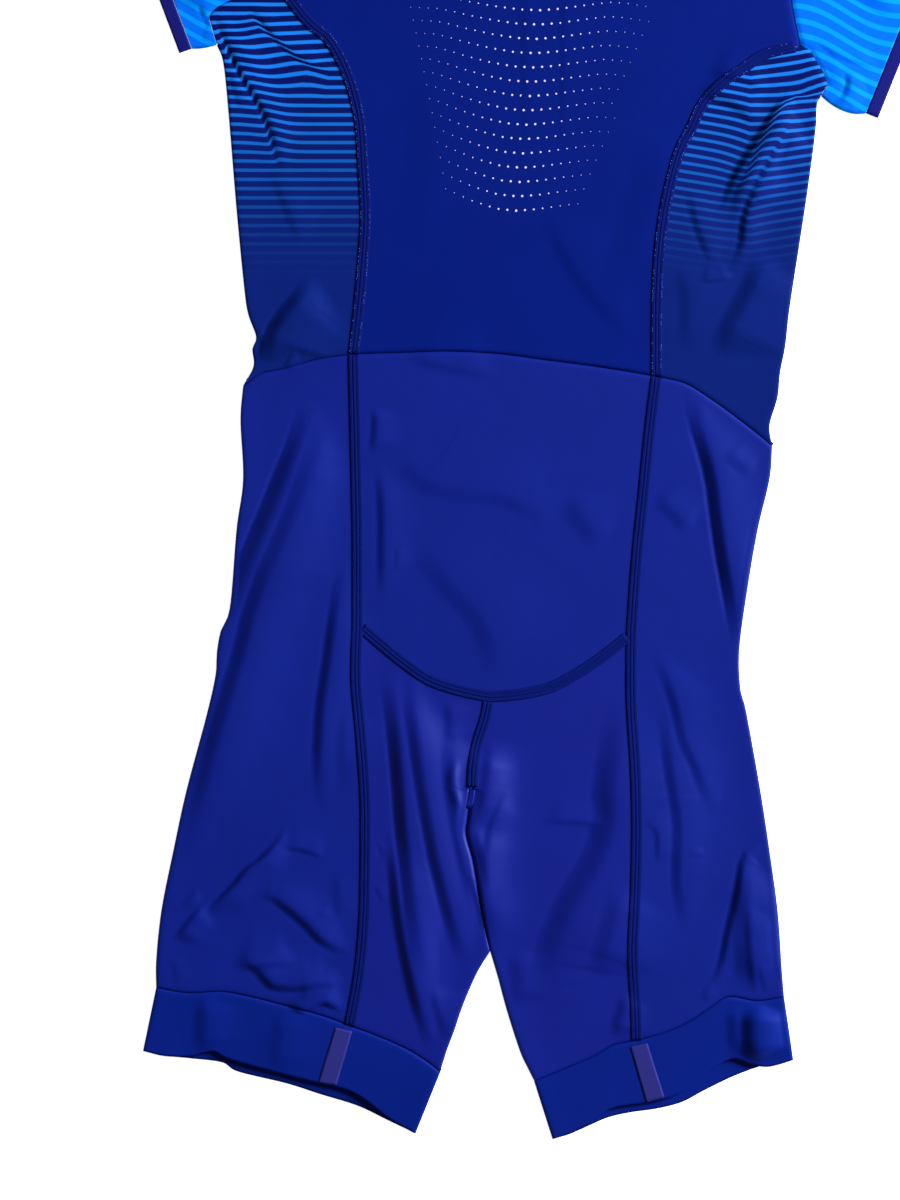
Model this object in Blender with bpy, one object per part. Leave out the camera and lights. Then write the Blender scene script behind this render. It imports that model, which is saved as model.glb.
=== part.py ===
"""Running speedsuit laid flat on its front, back side up.

A one-piece suit with short sleeves and short legs. Two layers of thin stretch cloth lie on each other.
Each cut piece is a wall of its own: the panels at the sides wrap round the silhouette from the upper
layer to the lower one. Lengths are in millimetres, with x to the right, y towards the neck and z up.
The plan tables are measured from the lowest hem corner, and place() moves the finished suit over the origin.
"""
import math

import bmesh
import bpy
import numpy as np

MM = 0.001                 # metres in a millimetre
WALL = 1.2                 # thickness of the cloth
SEAM_GAP = 0.3             # between two pieces at a seam
LAYER_ROOM = 0.4           # least room between the upper and the lower layer
UPPER_HEIGHT = 3.5         # top of the upper layer where it lies flat
LEAST_HEIGHT = 2.95        # top of the upper layer in the deepest trough
EDGE_ROLL = 1.1            # how much higher the cloth stands where it folds round an edge
EDGE_ROLL_WIDTH = 13.0     # how far in from the edge that reaches
EDGE_HEIGHTS = (4.3, 7.0)  # least and most height of a folded edge
SEAM_COVER = 8.6           # width of the flat stitched cover over the long seams
COVER_LIFT = 0.3           # from the panels to the cover above them
COVER_THICK = 0.7
CUFF_WIDTH = 10.0
NECK_BINDING = 9.0         # width of the strip round the neck
ZIP_TAPE = 27.0            # width of both zip tapes together
ZIP_CHAIN = 6.0            # width of the closed chain
ZIP_END = (47, 749)        # lower end of the front zip
ZIP_TOP = (57, 968)        # upper end, at the front neck
TIP_STEP = 1.2             # by which the panels' shoulder fold keeps clear of the sleeve
TAB_LIFT = 0.35
TAB_THICK = 0.7
LEGS_ASIDE = 0.2           # by which each leg's folded edge keeps clear of the line between the legs
STEEPEST = 1.6             # most that a slope thickens the cloth, measured upright
EDGE_READ = 2.3            # how far in from the outline the height of its fold is read
FOLD_ENDS = 0.35           # height of a fold at its ends, as a share of its middle
FOLD_TAPER = 5             # a fold tapers over one part in this many of its length
EASE = 0.25                # how softly a trough levels out at the least height, in square millimetres
CHAIN_RISE = 0.4           # by which the zip's chain stands above its tapes
NECK_FOCUS = 20.0          # how far above the neck's corners the point lies that its strip faces
SHOULDER_TURNS = (40, 80)  # degrees that the two rows of a shoulder edge have turned
SHARP_ANGLE = 50           # degrees between faces from which an edge is shaded sharp

# Intervals along the pieces. Neighbours share them, so that their seam edges run side by side.
TORSO_ROWS = 15            # waist to the armhole end of the back seam
ARMHOLE_ROWS = 7           # from there to the shoulder tip
SEAT_ROWS = 10             # waist to the seat seam
CENTRE_ROWS = 5            # seat seam to the crotch, with short rows at both ends
TOUCH_ROWS = 6             # crotch to where the legs part
FREE_ROWS = 5              # from there to the hem seam
LEG_ROWS = CENTRE_ROWS + TOUCH_ROWS + FREE_ROWS
SLEEVE_ROWS = 5
BAND_ROWS = 3
BODY_COLUMNS = 16
SIDE_COLUMNS = 8           # side panels, and the outer legs below them
INNER_COLUMNS = 8
LOWER_COLUMNS = 3          # in the lower layer of a side panel or an outer leg
FOLD_STEPS = 3             # points round a folded edge, between its two ends
INNER_LOWER = {"left": 5, "right": 4}  # columns in the lower layer of the inner legs
TAB_ROWS = 7
TAB_COLUMNS = 3
FINE = 60                  # points used to measure a curve
CURVE_STEPS = 12           # steps between two given points of a curve
EDGE_POINTS = 24           # points of a folded edge, and of a fold below, when heights are measured
ROUTE_POINTS = 10
FAR = 1e9
TINY = 1e-9

# Seams and edges in plan (x, y), each from its lower or inner end.
PLAN = {
    "seam_back_left": [(-96, 597), (-92, 633), (-89, 667), (-87, 703), (-89, 741), (-91, 771), (-96, 795),
                       (-103, 815), (-115, 836), (-132, 851), (-153, 879)],
    "seam_back_right": [(134, 580), (134, 623), (135, 657), (137, 684), (141, 711), (146, 733), (152, 753),
                        (160, 768), (169, 787), (184, 803), (200, 814), (217, 825), (243, 831)],
    "seam_leg_left_upper": [(-96, 597), (-95, 555), (-94, 509), (-93, 456), (-93, 392)],
    "seam_leg_left_lower": [(-93, 392), (-94, 350), (-90, 304), (-87, 258), (-87, 213), (-88, 167), (-92, 125),
                            (-99, 87)],
    "seam_leg_right_upper": [(134, 580), (129, 540), (124, 490), (119, 441), (115, 385)],
    "seam_leg_right_lower": [(115, 385), (115, 334), (118, 281), (119, 236), (118, 190), (116, 144), (118, 106),
                             (119, 76)],
    "waist_left": [(-96, 597), (-124, 593), (-149, 586), (-167, 582), (-180, 573)],
    "waist_back": [(-96, 597), (-61, 598), (-23, 599), (15, 597), (53, 592), (91, 587), (134, 580)],
    "waist_right": [(134, 580), (155, 575), (172, 565), (189, 553), (206, 540), (222, 527)],
    "seat_left": [(-93, 392), (-74, 376), (-58, 363), (-39, 350), (-16, 342), (7, 337)],
    "seat_right": [(115, 385), (91, 366), (71, 353), (53, 344), (30, 339), (7, 337)],
    "centre": [(7, 337), (4, 321), (-2, 302), (-5, 285), (-6, 266)],
    "inseam_touching": [(-6, 266), (-9, 245), (-10, 232), (-5, 213), (-1, 190), (4, 163), (8, 144)],
    "inseam_left": [(8, 144), (-1, 129), (-8, 114), (-14, 99), (-19, 84), (-25, 68), (-30, 52)],
    "inseam_right": [(8, 144), (12, 129), (20, 99), (30, 68), (36, 55), (41, 45)],
    "side_left": [(-180, 573), (-172, 588), (-173, 601), (-170, 610), (-176, 627), (-179, 646), (-185, 707),
                  (-191, 779), (-195, 818), (-200, 832)],
    "side_right": [(222, 527), (220, 543), (226, 564), (228, 583), (232, 604), (235, 631), (242, 676), (249, 722),
                   (255, 768), (256, 787), (259, 793)],
    "thigh_left": [(-180, 573), (-182, 547), (-180, 502), (-185, 464), (-190, 405), (-197, 387), (-200, 370),
                   (-201, 353), (-208, 322), (-223, 266), (-233, 220), (-242, 175), (-246, 137), (-246, 116)],
    "thigh_right": [(222, 527), (220, 502), (211, 464), (203, 418), (197, 372), (198, 342), (202, 327),
                    (213, 266), (220, 220), (226, 175), (229, 133), (231, 109)],
    "armhole_side_left": [(-153, 879), (-173, 873), (-189, 866), (-200, 860), (-206, 853)],
    "armhole_side_right": [(243, 831), (250, 828), (255, 820), (260, 812), (264, 802)],
    "armhole_back_left": [(-153, 879), (-137, 911), (-116, 969), (-112, 1042)],
    "armhole_back_right": [(243, 831), (236, 867), (229, 928), (242, 999)],
    "hem_outer_left": [(-99, 87), (-121, 95), (-147, 102), (-174, 109), (-197, 113), (-222, 112), (-246, 116)],
    "hem_outer_right": [(119, 76), (138, 81), (156, 89), (173, 100), (188, 109), (210, 106), (231, 109)],
    "hem_inner_left": [(-99, 87), (-80, 80), (-57, 70), (-42, 61), (-30, 52)],
    "hem_inner_right": [(119, 76), (100, 72), (84, 63), (63, 54), (41, 45)],
    "edge_upper_left": [(-256, 68), (-239, 64), (-220, 64), (-204, 68), (-192, 62), (-164, 54), (-125, 44),
                        (-103, 39), (-88, 31), (-70, 17), (-49, 5)],
    "edge_lower_left": [(-256, 68), (-239, 64), (-220, 62), (-196, 59), (-184, 52), (-147, 43), (-122, 35),
                        (-93, 26), (-70, 15), (-49, 5)],
    "edge_upper_right": [(238, 61), (219, 56), (205, 58), (194, 62), (184, 59), (167, 47), (152, 36), (133, 30),
                         (114, 27), (99, 24), (84, 14), (67, 5), (55, 1)],
    "edge_lower_right": [(238, 61), (219, 58), (194, 49), (171, 38), (154, 29), (135, 24), (114, 21), (97, 17),
                         (81, 10), (67, 4), (55, 1)],
    "neck_back": [(-2, 1064), (22, 1046), (67, 1037), (114, 1036), (141, 1047)],
    "neck_front": [(-2, 1064), (16, 1010), (57, 977), (102, 997), (141, 1047)],
}

# Underarm points, shoulder tips, and the lower and upper ends of the seam between sleeve and cuff.
SIDES = {
    "left": {"underarm": (-200, 832), "shoulder": (-112, 1042), "cuff_low": (-219, 829), "cuff_high": (-273, 972),
             "sag": (0, -1), "tab": ((-110, 86), (-97, 83), (-123, 44), (-109, 42)), "outward": -1},
    "right": {"underarm": (259, 793), "shoulder": (242, 999), "cuff_low": (293, 780), "cuff_high": (350, 921),
              "sag": (0, -5), "tab": ((114, 71), (127, 74), (126, 29), (140, 33)), "outward": 1},
}

# Folds: route in plan, height (negative for a trough), reach to the left and to the right of the route.
FOLDS = [
    # outer leg left
    ([(-126, 574), (-158, 480), (-186, 402)], 4.0, 15, 10),
    ([(-112, 540), (-130, 420), (-152, 300)], 3.4, 13, 13),
    ([(-188, 380), (-214, 270), (-234, 190)], 2.6, 10, 11),
    ([(-158, 262), (-186, 222), (-216, 180)], 2.8, 11, 11),
    ([(-166, 196), (-134, 184), (-104, 160)], 2.4, 10, 10),
    ([(-188, 132), (-146, 122), (-104, 118)], 1.6, 9, 9),
    # inner leg left
    ([(-68, 310), (-64, 228), (-55, 133), (-38, 66)], 3.8, 10, 9),
    ([(-46, 346), (-40, 266), (-30, 209), (-16, 152)], 4.0, 9, 9),
    # inner leg right
    ([(102, 222), (84, 160), (56, 104)], 2.8, 12, 12),
    ([(14, 268), (6, 228), (12, 180)], 2.4, 9, 9),
    ([(60, 320), (48, 300), (30, 282)], 2.0, 9, 9),
    # outer leg right
    ([(172, 560), (192, 478), (199, 408)], 4.0, 12, 10),
    ([(134, 484), (148, 468), (162, 452)], 1.8, 12, 12),
    ([(160, 380), (179, 304), (176, 222)], 3.2, 11, 13),
    ([(134, 320), (138, 256), (133, 182)], 2.2, 9, 11),
    ([(213, 222), (206, 176), (201, 116), (208, 66)], 3.6, 9, 11),
    ([(192, 150), (190, 104), (193, 62)], -1.0, 9, 9),
    # seat
    ([(-76, 562), (-78, 520), (-75, 430)], 2.2, 10, 9),
    ([(-78, 522), (-34, 500), (16, 488), (62, 462)], 2.4, 12, 12),
    ([(-50, 446), (-18, 412), (4, 378), (12, 348)], 2.4, 11, 11),
    ([(54, 400), (48, 380), (44, 360)], 2.0, 10, 10),
    ([(64, 520), (84, 470), (88, 440)], 1.6, 14, 14),
    # back
    ([(42, 706), (72, 652), (112, 608)], 3.0, 12, 10),
    ([(-62, 840), (-48, 760), (-60, 690)], 1.4, 16, 16),
    # side left
    ([(-200, 842), (-178, 806), (-156, 756), (-138, 690)], 3.0, 9, 9),
    ([(-152, 842), (-140, 828), (-128, 816)], 1.8, 9, 9),
    ([(-148, 666), (-160, 646), (-168, 622)], 2.4, 8, 9),
    ([(-118, 660), (-136, 624), (-150, 594)], 2.8, 9, 9),
    # side right
    ([(260, 794), (230, 786), (206, 752), (190, 708)], 3.4, 8, 10),
    ([(210, 712), (199, 684), (190, 660)], 2.2, 9, 9),
    ([(162, 728), (168, 702), (172, 684)], 1.6, 8, 8),
    ([(218, 646), (206, 622), (192, 600)], 2.2, 10, 10),
    # shoulder left
    ([(-98, 960), (-60, 985), (-20, 1000)], 1.8, 14, 14),
    # shoulder right
    ([(216, 925), (180, 955), (140, 978)], 1.8, 14, 14),
    # sleeve left
    ([(-150, 930), (-195, 930), (-240, 915)], 2.2, 12, 12),
    ([(-130, 1000), (-180, 985), (-235, 960)], 1.8, 12, 12),
    # sleeve right
    ([(246, 880), (285, 868), (320, 852)], 2.2, 12, 12),
    ([(250, 950), (285, 930), (320, 905)], 1.8, 12, 12),
]

# Each piece's colour (red, green, blue as seen, 0 to 255), roughness.
CLOTHS = {
    "torso_mesh_knit": ((8, 28, 125), 0.7),
    "striped_knit": ((20, 60, 150), 0.6),
    "wave_knit": ((0, 120, 250), 0.6),
    "shorts_knit": ((22, 32, 140), 0.6),
    "satin_knit": ((30, 40, 150), 0.4),
    "gripper_band": ((10, 35, 150), 0.55),
    "binding": ((25, 20, 120), 0.65),
    "hem_tab": ((70, 55, 150), 0.5),
    "seam_thread": ((10, 20, 95), 0.75),
    "zip_tape": ((14, 18, 70), 0.6),
}


def smooth(points, count):
    """Points at even steps along the smooth curve through the given ones."""
    knots = np.array(points, dtype=float)
    ends = np.vstack([2 * knots[0] - knots[1], knots, 2 * knots[-1] - knots[-2]])
    dense = []
    for k in range(1, len(ends) - 2):
        before, start, stop, after = ends[k - 1:k + 3]
        for t in np.linspace(0, 1, CURVE_STEPS, endpoint=False):
            dense.append(0.5 * (2 * start + (stop - before) * t
                                + (2 * before - 5 * start + 4 * stop - after) * t ** 2
                                + (3 * start - before - 3 * stop + after) * t ** 3))
    dense.append(knots[-1])
    return by_fraction(np.array(dense), np.linspace(0, 1, count))


def lengths(line):
    """Distance along a polyline at each of its points."""
    steps = np.linalg.norm(np.diff(line, axis=0), axis=1)
    return np.concatenate([[0.0], np.cumsum(steps)])


def by_distance(line, places):
    """Points of a polyline at the given distances along it."""
    run = lengths(line)
    return np.column_stack([np.interp(places, run, line[:, 0]), np.interp(places, run, line[:, 1])])


def by_fraction(line, fractions):
    return by_distance(line, np.asarray(fractions) * lengths(line)[-1])


def curve(name, count=FINE):
    return smooth(PLAN[name], count)


def joined(*parts):
    """Polylines end to end, without the doubled points."""
    return np.vstack([parts[0]] + [part[1:] for part in parts[1:]])


def unit(vector):
    return np.asarray(vector, dtype=float) / max(np.linalg.norm(vector), TINY)


def distance_to(line, places):
    """Distance from each place to a polyline, its side (1 for left) and how far along it lies, 0 to 1."""
    best = np.full(len(places), FAR)
    side = np.zeros(len(places))
    along = np.zeros(len(places))
    run = lengths(line)
    for k in range(len(line) - 1):
        step = line[k + 1] - line[k]
        length = np.linalg.norm(step)
        rel = places - line[k]
        t = np.clip(rel @ step / length ** 2, 0, 1)
        away = np.linalg.norm(rel - t[:, None] * step, axis=1)
        closer = away < best
        best = np.where(closer, away, best)
        side = np.where(closer, np.sign(step[0] * rel[:, 1] - step[1] * rel[:, 0]), side)
        along = np.where(closer, (run[k] + t * length) / run[-1], along)
    return best, side, along


def folded_edges():
    """The lines where the cloth folds round from the upper layer to the lower one."""
    edges = [curve(name, EDGE_POINTS) for name in ("side_left", "side_right", "thigh_left", "thigh_right",
                                          "inseam_touching", "inseam_left", "inseam_right")]
    for side in SIDES.values():
        low, high = cuff_edge(side)
        edges.append(np.array([side["underarm"], side["cuff_low"], low], dtype=float))
        edges.append(np.array([side["shoulder"], side["cuff_high"], high], dtype=float))
    for hand, corner in (("left", 0), ("right", -1)):
        edges.append(np.array([PLAN["neck_back"][corner], SIDES[hand]["shoulder"]], dtype=float))
        edges.append(np.array([PLAN["hem_outer_" + hand][-1], PLAN["edge_upper_" + hand][0]], dtype=float))
        edges.append(np.array([PLAN["hem_inner_" + hand][-1], PLAN["edge_upper_" + hand][-1]], dtype=float))
    return edges


def cuff_edge(side):
    """Lower and upper end of the cuff's open edge."""
    low = np.array(side["cuff_low"], dtype=float)
    high = np.array(side["cuff_high"], dtype=float)
    along = unit(high - low)
    across = side["outward"] * np.array([along[1], -along[0]])
    return low + CUFF_WIDTH * across, high + CUFF_WIDTH * across


def height(places):
    """Top of the upper layer at each place of the plan."""
    places = np.atleast_2d(places)
    edge = np.full(len(places), FAR)
    for line in EDGES:
        edge = np.minimum(edge, distance_to(line, places)[0])
    top = UPPER_HEIGHT + EDGE_ROLL * np.exp(-(edge / EDGE_ROLL_WIDTH) ** 2)
    for route, rise, left, right in FOLDS:
        away, hand, along = distance_to(smooth(route, ROUTE_POINTS), places)
        reach = np.where(hand > 0, left, right)
        ends = np.clip(np.minimum(along, 1 - along) * FOLD_TAPER, 0, 1)
        top += rise * np.exp(-(away / reach) ** 2) * (FOLD_ENDS + (1 - FOLD_ENDS) * ends)
    over = top - LEAST_HEIGHT
    return LEAST_HEIGHT + 0.5 * (over + np.sqrt(over ** 2 + EASE))


EDGES = folded_edges()


def edge_radius(end, outward):
    """Half the height of the folded edge at a point of the outline."""
    tall = height(end - EDGE_READ * outward)[0]
    return 0.5 * float(np.clip(tall, *EDGE_HEIGHTS))


def coons(starts, stops, first, last):
    """Rows between two side edges, shaped by the first and the last row; all are polylines in plan."""
    share = 0.5 * (lengths(starts) / lengths(starts)[-1] + lengths(stops) / lengths(stops)[-1])
    u = np.linspace(0, 1, FINE)[:, None]
    first = by_fraction(first, u[:, 0])
    last = by_fraction(last, u[:, 0])
    rows = []
    for s, start, stop in zip(share, starts, stops):
        flat = ((1 - u) * (1 - s) * first[0] + u * (1 - s) * first[-1]
                + (1 - u) * s * last[0] + u * s * last[-1])
        rows.append((1 - s) * first + s * last + (1 - u) * start + u * stop - flat)
    return rows


def spaced(row, columns, start="seam", stop="seam", start_cut=0.0, stop_cut=0.0):
    """A row's points: the first and last column at a seam are half a seam cover wide."""
    total = lengths(row)[-1]
    inner_start = start_cut + (SEAM_COVER / 2 if start == "seam" else 0.0)
    inner_stop = total - stop_cut - (SEAM_COVER / 2 if stop == "seam" else 0.0)
    count = columns - (start == "seam") - (stop == "seam")
    places = list(np.linspace(inner_start, inner_stop, count + 1))
    if start == "seam":
        places.insert(0, start_cut)
    if stop == "seam":
        places.append(total - stop_cut)
    return by_distance(row, places)


def inset(grid, rows=(), columns=(), by=SEAM_GAP / 2):
    """Moves the named outer rows and columns of a plan grid inwards, square to themselves."""
    moved = grid.copy()
    for axis, picks in ((0, rows), (1, columns)):
        for pick in picks:
            edge = np.take(grid, pick, axis=axis)
            inner = np.take(grid, 1 if pick == 0 else -2, axis=axis)
            tangent = np.gradient(edge, axis=0)
            normal = np.column_stack([-tangent[:, 1], tangent[:, 0]])
            normal /= np.maximum(np.linalg.norm(normal, axis=1), TINY)[:, None]
            normal *= np.sign(np.sum(normal * (inner - edge), axis=1))[:, None]
            if axis == 0:
                moved[pick, :] += by * normal
            else:
                moved[:, pick] += by * normal
    return moved


def upper_points(grid):
    """Outer and inner points of the upper layer over a plan grid."""
    flat = grid.reshape(-1, 2)
    top = height(flat)
    slope = [(height(flat + step) - height(flat - step)) / 2 for step in ((1.0, 0.0), (0.0, 1.0))]
    steep = np.sqrt(1 + slope[0] ** 2 + slope[1] ** 2)
    thick = np.minimum(WALL * np.minimum(steep, STEEPEST), top - WALL - LAYER_ROOM)
    outer = np.column_stack([flat, top]).reshape(*grid.shape[:2], 3)
    inner = np.column_stack([flat, top - thick]).reshape(*grid.shape[:2], 3)
    return outer, inner


def lower_points(grid):
    """Outer and inner points of the lower layer, which lies flat."""
    ground = np.zeros(grid.shape[:2] + (1,))
    return np.dstack([grid, ground]), np.dstack([grid, ground + WALL])


def fold_points(end, outward, radius, shift):
    """Outer and inner points round a folded edge, from its top to its underside."""
    centre = np.array([*(end - radius * outward + shift), radius])
    points = []
    for k in range(1, FOLD_STEPS + 1):
        turn = math.pi * k / (FOLD_STEPS + 1)
        away = np.array([*(math.sin(turn) * outward), math.cos(turn)])
        points.append((centre + radius * away, centre + (radius - WALL) * away))
    return points


def wall(rows, closed=False, holes=()):
    """Vertices and faces of a cloth wall. A row holds (outer, inner) points, or None where there is no cloth.

    holes lists cells, by row and column, that stay open.
    """
    verts = []
    number = {}
    for i, row in enumerate(rows):
        for j, pair in enumerate(row):
            if pair is not None:
                number[i, j] = len(verts)
                verts.extend(pair)
    faces = []
    edges = {}
    width = len(rows[0])
    for i in range(len(rows) - 1):
        for j in range(width if closed else width - 1):
            k = (j + 1) % width
            corners = [number.get(key) for key in ((i, j), (i, k), (i + 1, k), (i + 1, j))]
            if None in corners or (i, j) in holes:
                continue
            faces.append(corners)
            faces.append([corner + 1 for corner in reversed(corners)])
            for a, b in zip(corners, corners[1:] + corners[:1]):
                edges[a, b] = edges.get((a, b), 0) + 1
    for a, b in edges:
        if (b, a) not in edges:
            faces.append([b, a, a + 1, b + 1])
    return verts, faces


def pairs(points):
    """Rows of (outer, inner) pairs from a pair of point grids."""
    outer, inner = points
    return [[(outer[i, j], inner[i, j]) for j in range(outer.shape[1])] for i in range(outer.shape[0])]


def flat_piece(grid, layer=upper_points):
    return wall(pairs(layer(grid)))


class Wrap:
    """A panel that starts at a seam on the upper layer, folds round the edge and ends at the seam below.

    rows are plan polylines from the seam outwards, and folded tells of each whether it folds round the edge or
    meets another piece at a seam there.
    """

    def __init__(self, rows, columns, lower_columns, folded):
        self.folded = folded
        upper, lower, self.turns = [], [], []
        for row, folds in zip(rows, folded):
            outward = unit(row[-1] - row[-3])
            radius = edge_radius(row[-1], outward) if folds else 0.0
            self.turns.append((row[-1], outward, radius))
            upper.append(spaced(row, columns, stop="edge", stop_cut=radius))
            lower.append(by_distance(row, np.linspace(0, lengths(row)[-1] - radius, lower_columns + 1)))
        self.plan = np.array(upper)
        self.upper = inset(self.plan, rows=(0, -1), columns=(0,))
        self.lower_plan = np.array(lower)
        self.lower = inset(self.lower_plan, rows=(0, -1), columns=(0,))
        seam_rows = [i for i, folds in enumerate(folded) if not folds]
        for grid, plan in ((self.upper, self.plan), (self.lower, self.lower_plan)):
            moved = inset(plan, columns=(-1,))
            for i in seam_rows:
                grid[i, -1] += moved[i, -1] - plan[i, -1]

    def mesh(self):
        above = pairs(upper_points(self.upper))
        below = pairs(lower_points(self.lower))
        rows = []
        for i, (end, outward, radius) in enumerate(self.turns):
            turn = [None] * FOLD_STEPS
            if self.folded[i]:
                top = above[i][-1]
                above[i][-1] = (np.array([*top[0][:2], 2 * radius]), np.array([*top[0][:2], 2 * radius - WALL]))
                turn = fold_points(end, outward, radius, self.upper[i, -1] - self.plan[i, -1])
            rows.append(above[i] + turn + below[i][::-1])
        return wall(rows)


def tube(upper_rows, lower_rows, holes=()):
    """A flattened tube. Each row is a plan line across it, from one folded edge to the other."""
    count = len(upper_rows)
    turns = []
    uppers, lowers = [], []
    for upper, lower in zip(upper_rows, lower_rows):
        ends = []
        for near, far in ((0, 1), (-1, -2)):
            outward = unit(upper[near] - upper[far])
            ends.append((upper[near].copy(), outward, edge_radius(upper[near], outward)))
        upper, lower = upper.copy(), lower.copy()
        for line in (upper, lower):
            line[0] = ends[0][0] - ends[0][2] * ends[0][1]
            line[-1] = ends[1][0] - ends[1][2] * ends[1][1]
        turns.append(ends)
        uppers.append(upper)
        lowers.append(lower)
    uppers, lowers = np.array(uppers), np.array(lowers)
    above_plan, below_plan = inset(uppers, rows=(0, -1)), inset(lowers, rows=(0, -1))
    above, below = pairs(upper_points(above_plan)), pairs(lower_points(below_plan))
    rows = []
    for i in range(count):
        first, second = turns[i]
        for near, (_, _, radius) in ((0, first), (-1, second)):
            place = above_plan[i, near]
            above[i][near] = (np.array([*place, 2 * radius]), np.array([*place, 2 * radius - WALL]))
        down = fold_points(*second, above_plan[i, -1] - uppers[i, -1])
        up = fold_points(*first, above_plan[i, 0] - uppers[i, 0])[::-1]
        rows.append(above[i] + down + below[i][::-1] + up)
    return wall(rows, closed=True, holes=holes)


def ruled(start, stop, count, bow=(0.0, 0.0)):
    """Lines from one plan line to another. The first end of the middle lines bows by the given step."""
    fade = (1 - lengths(start) / lengths(start)[-1])[:, None] ** 2
    rows = []
    for s in np.linspace(0, 1, count + 1):
        rows.append((1 - s) * start + s * stop + 4 * s * (1 - s) * fade * np.array(bow))
    return rows


def raised(grid, lift, thick):
    """A thin strip that lies on cloth: the cloth's own points, moved up."""
    return wall([[(point + np.array([0, 0, lift + thick]), point + np.array([0, 0, lift])) for point in row]
                 for row in grid])


def stations(name, count, cover_start=False, cover_stop=False, cut=0.0):
    """Points along a seam, with the first or last step half a seam cover long where a cover crosses."""
    line = curve(name)
    total = lengths(line)[-1] - cut
    low = SEAM_COVER / 2 if cover_start else 0.0
    high = total - SEAM_COVER / 2 if cover_stop else total
    places = list(np.linspace(low, high, count + 1 - cover_start - cover_stop))
    if cover_start:
        places.insert(0, 0.0)
    if cover_stop:
        places.append(total)
    return by_distance(line, places)


def shoulder(hand):
    """Inner shoulder line from the tip to the neck, the way it faces, and its radius."""
    neck = np.array(PLAN["neck_back"][0 if hand == "left" else -1], dtype=float)
    tip = np.array(SIDES[hand]["shoulder"], dtype=float)
    along = unit(neck - tip)
    normal = np.array([-along[1], along[0]])
    normal *= np.sign(normal[1])
    radius = edge_radius(tip, normal)
    return neck - radius * normal, normal, radius


def torso_edges(hand):
    """Edge of the back and front panel from the waist to the shoulder."""
    tip = stations("armhole_back_" + hand, ARMHOLE_ROWS, cut=shoulder(hand)[2])
    return joined(stations("seam_back_" + hand, TORSO_ROWS), tip)


def shoulder_rows(grid, flip, outer_columns):
    """Two more rows that turn a panel's shoulder edge half way round towards the other layer."""
    rows = []
    for turn in np.radians(SHOULDER_TURNS):
        row = [None] * grid.shape[1]
        for hand, columns in outer_columns.items():
            _, normal, radius = shoulder(hand)
            towards_neck = unit(grid[-1, columns[1]] - grid[-1, columns[0]])
            if hand == "right":
                towards_neck = unit(grid[-1, columns[-2]] - grid[-1, columns[-1]])
            for j in columns:
                high = height(grid[-1, j])[0] / 2
                rise = -math.cos(turn) if flip else math.cos(turn)
                away = np.array([*(math.sin(turn) * normal), rise])
                at_tip = j in (0, grid.shape[1] - 1)
                centre = np.array([*(grid[-1, j] + (TIP_STEP if at_tip else 0.0) * towards_neck), high])
                row[j] = (centre + high * away, centre + (high - WALL) * away)
        rows.append(row)
    return rows


def zip_place(row):
    """Distance along a row at which it crosses the line of the front zip."""
    low, high = np.array(ZIP_END, dtype=float), np.array(ZIP_TOP, dtype=float)
    across = np.array([high[1] - low[1], low[0] - high[0]])
    side = (row - low) @ across
    cross = int(np.argmax(side > 0))
    part = side[cross - 1] / (side[cross - 1] - side[cross])
    run = lengths(row)
    return run[cross - 1] + part * (run[cross] - run[cross - 1])


def front_row(row, columns):
    """Points of a front row, with one column on each side of the zip."""
    middle = zip_place(row)
    half = columns // 2
    left = np.linspace(0, middle - ZIP_TAPE / 2, half + 1)
    right = np.linspace(middle + ZIP_TAPE / 2, lengths(row)[-1], half + 1)
    return by_distance(row, np.concatenate([left, right]))


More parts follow.
